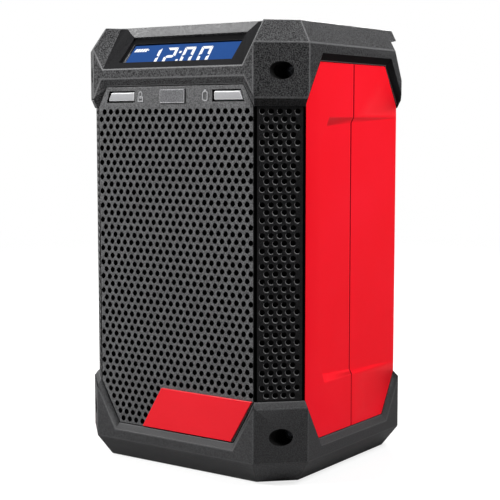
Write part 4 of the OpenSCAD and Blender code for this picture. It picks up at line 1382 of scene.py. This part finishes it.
@dataclass
class FrontPanel:
    """Perforated front panel and corner strips, with the plates and lenses on them."""

    body: str = "housing"
    broken: float = 0.28  # width of the panel's broken hole edges
    strip_broken: float = 0.4  # and of the strips'
    face: float = -72.3  # depth of the panel's front
    strip_face: float = 91.6  # just inside the strips' faces, along their slanted direction
    strip_middle: float = 4.03  # middle of a strip, along its width
    pitch: float = 5.0  # distance between the holes of a row
    step: float = 4.31  # distance between the rows
    top_row: float = 211.5  # height of the highest row
    around: float = 1.7  # just outside a hole's edge
    plate_face: float = 72.9  # distance of the small plate's face from the middle plane
    lens_face: float = 72.3  # and of the lenses' faces
    border_half: float = 9.1  # half width of the small plate's border
    border_tall: float = 3.9  # half its height
    border_z: float = 220.4  # height of its middle
    lock_x: float = -24.0  # middle of the lock's body
    lock_z: float = 219.0
    cell_x: float = 23.6  # middle of the cell
    cell_z: float = 220.2

    def build(self) -> None:
        """Make the perforated sheets with broken hole edges, the dust screen, plates and lenses."""
        holes = Rounding(self.broken, 1, shortest=0.0, sharpness=40.0, flatten=False)
        # The rounds of the panel's hole edges take the very dark housing finish: painted shade on the upper
        # right of each hole's rim. The hole walls get painted shade too.
        panel = replace(holes, where=self.on_face, painted_round=Skin.HOUSING_SHADE)
        sheet = panel.copy("front_grille_sheet", "front_grille", Skin.GRILLE, self.body)
        self.shade_hole_walls(sheet, (0, -1, 0))
        # The lower outer rim of each strip hole takes a painted highlight, and the hole walls take painted
        # shade.
        strips = replace(holes, width=self.strip_broken, where=self.on_strip, painted_round=Skin.STRIP_RIM_HIGHLIGHT)
        slant = math.sqrt(0.5)
        for side, sign in (("left", -1), ("right", 1)):
            name = f"{side}_corner"
            strip = strips.copy(name + "_sheet", name + "_grille", Skin.STRIP, self.body)
            self.shade_hole_walls(strip, (sign * slant, -slant, 0))
        cloth = add_piece("dust_screen_cloth", welded("dust_screen"), Skin.SCREEN, self.body)
        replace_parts(cloth, "dust_screen")
        dress(Skin.BOARD, "indicator_board")
        plate = Rounding(0.35, 3, 0.5)
        plate.copy("red_front_plate", "lower_plate", Skin.BADGE, self.body)
        plate.copy("small_front_plate", "upper_plate", Skin.SILVER, self.body)
        # The lenses' rounded edges take a lighter grey: a painted highlight.
        lens = Rounding(0.7, 1, 0.5, painted_round=Skin.LENS_RIM_HIGHLIGHT)
        for side in ("left", "right"):
            lens.copy(f"{side}_indicator_lens", f"{side}_lens", Skin.LENS, self.body)
        self.signs()

    def from_hole(
        self, across: np.ndarray, height: np.ndarray, parity: int
    ) -> tuple[np.ndarray, np.ndarray]:
        """Distance of points from the nearest hole, and how far to its upper right they lie.

        Every second row stands half a pitch aside. The second value is the place from the hole's
        centre times (0.6, 0.8), a direction that leans to the right of upright.

        Args:
            across: Places along the sheet.
            height: Heights of the points.
            parity: 1 where the highest row stands half a pitch aside, 0 where the next one does.

        Returns:
            The distances, and the values.
        """
        row = np.rint((self.top_row - height) / self.step)
        over = height - self.top_row + row * self.step
        shift = across - self.pitch / 2 * ((row + parity) % 2)
        aside = shift - np.rint(shift / self.pitch) * self.pitch
        return np.hypot(aside, over), aside * 0.6 + over * 0.8

    def on_face(self, middle: np.ndarray) -> np.ndarray:
        """Edges in the panel's front, but only the upper right two fifths or so of each hole's, whose
        rounds take painted shade.
        """
        away, up = self.from_hole(middle[:, 0], middle[:, 2], 1)
        return (middle[:, 1] < self.face + 0.05) & ((away > self.around) | (up > 0.5))

    def on_strip(self, middle: np.ndarray) -> np.ndarray:
        """Lower outer edges of the holes in a corner strip, towards the radio's front, whose rounds take a
        painted highlight.

        A strip lies at 45 degrees, so its own coordinates are the sum and the difference of the
        width and the depth, over the root of two.

        Args:
            middle: Middles of the edges.

        Returns:
            Whether each edge is broken.
        """
        aside, slant = np.abs(middle[:, 0]), math.sqrt(0.5)
        out = (aside - middle[:, 1]) * slant
        across = (aside + middle[:, 1]) * slant - self.strip_middle
        away, up = self.from_hole(across, middle[:, 2], 0)
        return (away < self.around) & (up < -0.3) & (out > self.strip_face)

    @staticmethod
    def shade_hole_walls(sheet: bpy.types.Object, axis: Place) -> None:
        """Give the walls of a sheet's holes a very dark finish, as painted shade.

        Args:
            sheet: Perforated sheet.
            axis: Direction that the sheet faces.
        """
        normal = read(sheet.data.polygons, "normal", np.float32, 3)
        wall = np.abs(normal @ np.array(axis, np.float32)) < 0.3
        paint_faces(sheet.data, wall, Skin.HOUSING_SHADE)

    def signs(self) -> None:
        """Add the border of the small plate and the signs of the two lenses, a lock and a cell."""
        line = Relief(FRONT, self.plate_face, 0.2, 0.06)
        low, high = self.border_z - self.border_tall, self.border_z + self.border_tall
        border = rectangle(-self.border_half, low, self.border_half, high)
        # The border takes the lighter silver: a painted highlight.
        line.piece("small_plate_border", [line.solid(border, 0.55)], Skin.SILVER_RIM_HIGHLIGHT, self.body)
        relief = Relief(FRONT, self.lens_face, 0.35, 0.1)
        lock, cell = np.array([self.lock_x, self.lock_z]), np.array([self.cell_x, self.cell_z])
        case = rounded_rectangle(4.2, 3.4, 0.5) + lock
        shackle = rounded_rectangle(3.0, 4.4, 1.4) + lock + np.array([0.0, 2.3])
        pole = rectangle(-0.8, 2.8, 0.8, 3.6) + cell
        can = rounded_rectangle(3.9, 5.8, 1.4) + cell
        marks = [relief.solid(case, 0.8), relief.solid(shackle, 0.7)]
        marks += [relief.solid(can, 0.75), relief.solid(pole)]
        relief.piece("indicator_signs", marks, Skin.LENS, self.body)


@dataclass
class Display:
    """Window, bezel and lit display with its segments."""

    body: str = "housing"
    foot: Place = (0.0, -75.3, 236.6)  # middle of the slope's lower edge
    run: float = 18.5  # depth of the slope
    rise: float = 19.6  # height of the slope
    left_wall: float = -35.0  # the bezel's left inner wall lies to the left of this
    face: float = -2.4  # height of the lit face over the slope
    lean: float = -0.1  # sideways step of the digits for each step up
    pivot: float = 12.0  # height whose points keep their place when the digits lean
    low: float = 4.5  # foot of the digits
    tall: float = 14.7  # their height
    wide: float = 8.1  # their width
    stroke: float = 2.05  # width of a segment
    gap: float = 0.14  # half the gap between two segments
    shown: float = 6.35  # lowest height that the bezel leaves open
    hours: tuple[tuple[float, str], ...] = ((-24.0, "bc"), (-11.8, "abge"))  # places and segments
    minutes: tuple[tuple[float, str], ...] = ((1.2, "abcef"), (13.4, "abcef"))
    dots_x: float = -1.1  # place of the dots between them
    dots_z: tuple[float, float] = (8.4, 15.2)  # heights of the dots
    dot: float = 0.85  # half width of a dot
    bars: int = 5  # bars of the gauge
    first_bar: float = -37.0  # place of the first one
    bar_step: float = 1.95  # distance between them
    gauge_end: float = -26.9  # place of the gauge's end
    plane: Plane = field(init=False)

    def __post_init__(self) -> None:
        """Set up the plane of the sloping display."""
        angle = math.atan2(self.rise, self.run)
        self.plane = Plane(self.foot, (1.0, 0.0, 0.0), (0.0, math.cos(angle), math.sin(angle)))

    def build(self) -> None:
        """Dress the bezel, with a painted highlight on its left inner wall, the window and the display
        face, and add the lit segments.
        """
        bezel = Rounding(0.15, 1, 1.0).copy("display_frame", "display_bezel", Skin.BEZEL, self.body)
        normal, centre = face_table(bezel.data)
        # The bezel's left inner wall takes the lighter bumper edge plastic: a painted highlight.
        wall = (normal[:, 0] > 0.9) & (centre[:, 0] < self.left_wall)
        paint_faces(bezel.data, wall, Skin.BUMPER_EDGE_HIGHLIGHT)
        dress(Skin.WINDOW, "display_window")
        dress(Skin.DISPLAY, "lcd_panel")
        light = Relief(self.plane, self.face + 0.01, 0.03)
        outlines = self.digits(self.hours) + self.colon() + self.digits(self.minutes) + self.gauge()
        parts = [light.solid(self.leaning(outline)) for outline in outlines]
        light.piece("display_segments", parts, Skin.DIGITS, self.body)

    def leaning(self, outline: np.ndarray) -> np.ndarray:
        """Outline slanted about the pivot's height and cut off at the bezel's lower edge.

        Each point is raised to that edge at least and moves sideways by its height over the pivot
        times the lean.

        Args:
            outline: Upright outline.

        Returns:
            The slanted one.
        """
        high = np.maximum(outline[:, 1], self.shown)
        return np.stack([outline[:, 0] + (high - self.pivot) * self.lean, high], axis=1)

    def digits(self, signs: tuple[tuple[float, str], ...]) -> list[np.ndarray]:
        """Outlines of the lit segments of some digits, with gaps between them.

        The lowest of the seven segments is left out, because the bezel covers most of it.

        Args:
            signs: Left side of each digit and the letters of its lit segments: a, b and c from the
                top round the right side, e and f up the left side, and g across the middle.

        Returns:
            One outline for each segment.
        """
        wide, tall, thick, gap = self.wide, self.tall, self.stroke, self.gap
        inner, under, end = wide - thick, tall - thick, 2 * gap
        half, low, high = tall / 2, tall / 2 - thick / 2, tall / 2 + thick / 2
        shapes = {
            "a": polygon((thick + gap, under), (inner - gap, under), (wide - end, tall), (end, tall)),
            "b": polygon((inner, high + gap), (wide, half + gap), (wide, tall - end), (inner, under - gap)),
            "c": polygon((inner, thick + gap), (wide, end), (wide, half - gap), (inner, low - gap)),
            "e": polygon((0, end), (thick, thick + gap), (thick, low - gap), (0, half - gap)),
            "f": polygon((0, half + gap), (thick, high + gap), (thick, under - gap), (0, tall - end)),
            "g": polygon(
                (thick / 2, half), (thick, low), (inner, low),
                (wide - thick / 2, half), (inner, high), (thick, high),
            ),
        }
        return [
            shapes[letter] + np.array([left, self.low])
            for left, letters in signs
            for letter in letters
        ]

    def colon(self) -> list[np.ndarray]:
        """Outlines of the two dots between hours and minutes."""
        square = rectangle(-self.dot, -self.dot, self.dot, self.dot)
        return [square + np.array([self.dots_x, high]) for high in self.dots_z]

    def gauge(self) -> list[np.ndarray]:
        """Outlines of the slanted bars of the charge gauge and of its end.

        Returns:
            One outline for each bar, and the end's.
        """
        bar = polygon((0.0, 16.6), (1.6, 16.6), (2.4, 19.2), (0.8, 19.2))
        end = polygon((0.0, 17.4), (0.7, 17.4), (0.9, 18.5), (0.2, 18.5))
        places = [self.first_bar + self.bar_step * number for number in range(self.bars)]
        bars = [bar + np.array([place, 0.0]) for place in places]
        return bars + [end + np.array([self.gauge_end, 0.0])]


@dataclass
class Keypad:
    """Key panel on the top with its ten keys."""

    keys: tuple[str, ...] = (
        "power", "mode", "menu", "volume_down", "volume_up",
        "tune_down", "tune_up", "preset_one", "preset_two", "preset_three",
    )
    columns: int = 5
    first: float = -36.0  # place of the left column
    pitch: float = 18.0  # distance between the columns
    rows: tuple[float, float] = (-3.0, 15.0)  # depths of both rows
    top: float = 261.7  # height of the keys' tops

    def build(self) -> None:
        """Make the panel and the keys with soft edges."""
        Rounding(0.4, 3, 0.5).copy("key_panel_plate", "key_panel", Skin.PANEL, "housing")
        for key in self.keys:
            Rounding(0.5, 3, 0.2).copy(f"{key}_key_cap", f"{key}_key", Skin.KEY, f"{key}_button")
        dress(Skin.BOARD, "key_board")
        self.signs()

    def signs(self) -> None:
        """Print a plain sign on each key."""
        ink = Relief(TOP, self.top, 0.03)
        dot, bar = disc(0, 0, 0.55, 12), rectangle(-1.7, -0.3, 1.7, 0.3)
        left = polygon((-1.5, 0), (0.3, -1.2), (0.3, 1.2))
        right = polygon((-0.3, -1.2), (1.5, 0), (-0.3, 1.2))
        above, below = rectangle(-0.3, 0.35, 0.3, 1.7), rectangle(-0.3, -1.7, 0.3, -0.35)
        signs: dict[str, list[tuple[np.ndarray, float]]] = {
            "power": [(disc(0, -0.2, 1.7), 0.45), (rectangle(-0.25, 0.2, 0.25, 2.2), 0.0)],
            "mode": [(rounded_rectangle(4.2, 2.8, 0.6), 0.4), (dot, 0.0)],
            "menu": [(bar + np.array([0, step]), 0.0) for step in (-1.2, 0, 1.2)],
            "volume_down": [(bar, 0.0)],
            "volume_up": [(bar, 0.0), (above, 0.0), (below, 0.0)],
            "tune_down": [(left + np.array([step, 0]), 0.0) for step in (-0.9, 1.2)],
            "tune_up": [(right + np.array([step, 0]), 0.0) for step in (-1.2, 0.9)],
            "preset_one": [(dot, 0.0)],
            "preset_two": [(dot + np.array([step, 0]), 0.0) for step in (-1, 1)],
            "preset_three": [(dot + np.array([step, 0]), 0.0) for step in (-2, 0, 2)],
        }
        for number, key in enumerate(self.keys):
            row, column = divmod(number, self.columns)
            place = np.array([self.first + self.pitch * column, self.rows[row]])
            parts = [ink.solid(outline + place, band) for outline, band in signs[key]]
            ink.piece(f"{key}_key_sign", parts, Skin.SIGN, f"{key}_button")


@dataclass
class Rear:
    """Battery, its bay and latches, the port door and what is behind it."""

    def build(self) -> None:
        """Make the outer pieces with soft edges and dress those behind them."""
        soft = Rounding(0.5, 3, 0.2, 25.0, facet=20.0)
        soft.copy("battery_bay_moulding", "battery_bay", Skin.HOUSING, "housing")
        soft.copy("battery_case_moulding", "battery_case", Skin.PACK, "battery_pack")
        soft.copy("battery_base_moulding", "battery_base", Skin.PACK_RED, "battery_pack")
        for side in ("left", "right"):
            soft.copy(f"{side}_latch_moulding", f"{side}_latch", Skin.LATCH, f"{side}_latch_button")
        soft.copy("port_door_moulding", "port_door", Skin.DOOR, "port_cover")
        dress(Skin.CELL, "battery_cells")
        dress(Skin.BRASS, "battery_terminals")
        dress(Skin.SOCKET_STEEL, "usb_socket")
        dress(Skin.SOCKET, "aux_socket", "power_inlet")
        dress(Skin.SCREW, "hinge_pin")


@dataclass
class Inside:
    """Housing halves, long screws, loudspeaker and boards."""

    def build(self) -> None:
        """Make the housing halves with soft edges and the long screws, and dress the rest."""
        soft = Rounding(0.4, 2, 4.0)
        # The front shell wears the very dark housing finish: painted shade behind the grille's holes.
        soft.copy("front_shell_moulding", "front_shell", Skin.HOUSING_SHADE, "housing")
        soft.copy("rear_shell_moulding", "rear_shell", Skin.HOUSING, "housing")
        dress(Skin.SCREW, "speaker_screws", "board_screws")
        self.long_screws()
        dress(Skin.FRAME_STEEL, "speaker_frame", "speaker_front_plate", "speaker_yoke")
        dress(Skin.MAGNET, "speaker_magnet")
        dress(Skin.RUBBER, "surround")
        dress(Skin.SPIDER, "spider")
        dress(Skin.CONE, "cone", "dust_cap")
        dress(Skin.COIL, "voice_coil")
        dress(Skin.BOARD, "main_board")
        dress(Skin.CHIP, "board_components")

    @staticmethod
    def long_screws() -> None:
        """Make the four long screws with a six-lobed recess in each head.

        A profile of radius, depth and lobe height turns round the axis, from the shank's end over
        the head to the middle of its recess: the radius is multiplied by one plus the lobe height
        times the cosine of six times the angle.
        """
        profile = np.array([
            (0.0, 12.0, 0.0), (1.75, 12.0, 0.0), (1.75, -51.0, 0.0),
            (3.7, -51.0, 0.0), (3.7, -53.4, 0.0), (3.5, -53.85, 0.0), (3.1, -54.0, 0.0),
            (2.0, -54.0, 0.16), (1.9, -52.4, 0.16), (0.0, -52.4, 0.0),
        ])
        turns = 60
        angle = np.linspace(0, 2 * math.pi, turns, endpoint=False)
        radius = profile[:, :1] * (1 + profile[:, 2:] * np.cos(6 * angle)[None])
        across, along = radius * np.cos(angle)[None], radius * np.sin(angle)[None]
        depth = np.broadcast_to(-profile[:, 1:2], across.shape)
        faces = grid_faces(len(profile), turns)
        parts = [
            (FRONT.point(across + x, along + z, depth).reshape(-1, 3), faces)
            for x in (-SCREW_ASIDE, SCREW_ASIDE)
            for z in SCREW_HEIGHTS
        ]
        mesh = mesh_of("long_screws_turned", *joined(parts), True)
        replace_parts(add_piece("long_screws_turned", mesh, Skin.SCREW, "housing"), "long_screws")


# ------------------------------------------------------------------------------ studio


@dataclass(frozen=True)
class Lamp:
    """Soft square lamp.

    Attributes:
        name: Name of the lamp.
        place: Its place, in metres.
        size: Length of its sides, in metres.
        power: Power in watts.
        target: Point that it faces, in metres.
    """

    name: str
    place: Place
    size: float
    power: float
    target: Place = (0.0, 0.0, 0.13)

    def build(self) -> None:
        """Add the lamp, turned so that its -Z axis meets the target."""
        light = bpy.data.lights.new(self.name, "AREA")
        light.shape = "RECTANGLE"
        light.size = light.size_y = self.size
        light.energy = self.power
        lamp = bpy.data.objects.new(self.name, light)
        way = np.array(self.target) - np.array(self.place)
        yaw = math.atan2(-way[0], way[1])
        tilt = math.atan2(math.hypot(way[0], way[1]), -way[2])
        lamp.location = self.place
        lamp.rotation_euler = (tilt, 0.0, yaw)
        bpy.context.scene.collection.objects.link(lamp)


@dataclass
class Studio:
    """Floor, white surroundings, lamps and camera."""

    yaw: float = 35.32  # turn of the camera about Z, in degrees
    pitch: float = 5.78  # how far it looks down, in degrees
    place: Place = (0.4530, -0.6347, 0.2044)  # its place, in metres
    lens: float = 89.54  # its focal length, in millimetres
    sensor: float = 36.0  # width of its sensor, in millimetres
    floor_half: float = 6.0  # half the floor's width, in metres
    near: float = 0.3  # distance from the middle where the floor begins to turn white
    far: float = 1.6  # distance where it is white
    ambient: float = 0.1  # strength of the surroundings where the camera doesn't look
    backdrop: float = 50.0  # half angle of the white backdrop, in degrees
    lamps: tuple[Lamp, ...] = (
        Lamp("front lamp", (-0.7, -0.8, 0.9), 0.35, 28.0),
        Lamp("side lamp", (0.65, 0.15, 1.0), 0.35, 14.5),
        Lamp("rear lamp", (-0.5, 1.0, 0.8), 0.35, 18.0),
        Lamp("top lamp", (0.0, 0.0, 1.5), 0.6, 3.0),
    )

    def build(self) -> None:
        """Set up the whole studio."""
        self.camera()
        self.floor()
        self.world()
        for lamp in self.lamps:
            lamp.build()
        bpy.context.scene.view_settings.view_transform = "Standard"

    def camera(self) -> None:
        """Add the camera, pitched down and turned about Z."""
        data = bpy.data.cameras.new("camera")
        data.lens = self.lens
        data.sensor_width = self.sensor
        camera = bpy.data.objects.new("camera", data)
        camera.location = self.place
        camera.rotation_euler = (math.radians(90 - self.pitch), 0.0, math.radians(self.yaw))
        bpy.context.scene.collection.objects.link(camera)
        bpy.context.scene.camera = camera

    def floor(self) -> None:
        """Add the pale floor, which shows nearly white and keeps the radio's shadow.

        Its own colour is 0.3, and 0.9 for a ray from the camera. Such a ray sees it mixed with
        0.78 of even white light near the radio and with 1 far away. For a ray off gloss or through
        glass both turn from the dim floor to white with the distance.
        """
        half = self.floor_half / MM
        corners = rectangle(-half, -half, half, half)
        points = TOP.point(corners[:, 0], corners[:, 1], np.zeros(4))
        mesh = mesh_of("floor", points, [[0, 1, 2, 3]], False)
        paint = Paint("pale floor")
        blots = paint.noise(paint.place(), 300.0, 2.0)
        away = paint.node("ShaderNodeVectorMath", {"operation": "LENGTH"}, {0: paint.place()})
        far = Signal(paint, away.outputs["Value"]).between(self.near, self.far)
        seen, mirrored = self.seen(paint)
        tone = (0.3 + (seen + mirrored * far) * 0.6) * (0.98 + blots * 0.04)
        paint.set(Base_Color=paint.tinted(WHITE, tone), Roughness=0.9, Specular_IOR_Level=0.0)
        glow = paint.node("ShaderNodeEmission", inputs={"Strength": 1.0})
        shown = seen * (0.78 + far * 0.22) + mirrored * far
        inputs = {0: shown, 1: paint.shader.outputs[0], 2: glow.outputs[0]}
        mix = paint.node("ShaderNodeMixShader", inputs=inputs)
        paint.feed(paint.output.inputs["Surface"], mix.outputs[0])
        mesh.materials.append(paint.material)
        floor = bpy.data.objects.new("floor", mesh)
        bpy.context.scene.collection.objects.link(floor)

    @staticmethod
    def seen(paint: Paint) -> tuple[Signal, Signal]:
        """Whether a ray comes from the camera, and whether it comes off gloss or through glass.

        Args:
            paint: Tree to build in.

        Returns:
            Two signals that are 1 for such a ray and 0 otherwise, never both 1.
        """
        camera, glossy, through = paint.rays()
        return camera, (glossy + through).between(0.0, 1.0) * (1 - camera)

    def world(self) -> None:
        """White backdrop behind the radio, and dim surroundings where the camera doesn't look.

        The strength is 1 for a ray from the camera, and for one off gloss or through glass that
        goes less than the backdrop's half angle away from the camera's level direction. Every
        other ray meets the dim, even light.
        """
        world = bpy.data.worlds.new("studio")
        bpy.context.scene.world = world
        tree = Tree(world)
        camera, glossy, through = tree.rays()
        turn = math.radians(self.yaw)
        inputs = {0: tree.place(), 1: (-math.sin(turn), math.cos(turn), 0.0)}
        along = tree.node("ShaderNodeVectorMath", {"operation": "DOT_PRODUCT"}, inputs)
        behind = Signal(tree, along.outputs["Value"]) > math.cos(math.radians(self.backdrop))
        white = (glossy.larger(through) * behind).larger(camera)
        inputs = {"Color": WHITE, "Strength": white * (1 - self.ambient) + self.ambient}
        background = tree.node("ShaderNodeBackground", inputs=inputs)
        tree.node("ShaderNodeOutputWorld", inputs={"Surface": background.outputs[0]})


def main() -> None:
    """Build every sub-assembly and then the studio."""
    logging.basicConfig(level=logging.INFO, format="%(name)s: %(message)s")
    assemblies = (Bumpers, SideCovers, FrontPanel, Display, Keypad, Rear, Inside, Studio)
    for assembly in assemblies:
        LOG.info("building %s", assembly.__name__)
        assembly().build()


if __name__ == "__main__":
    main()
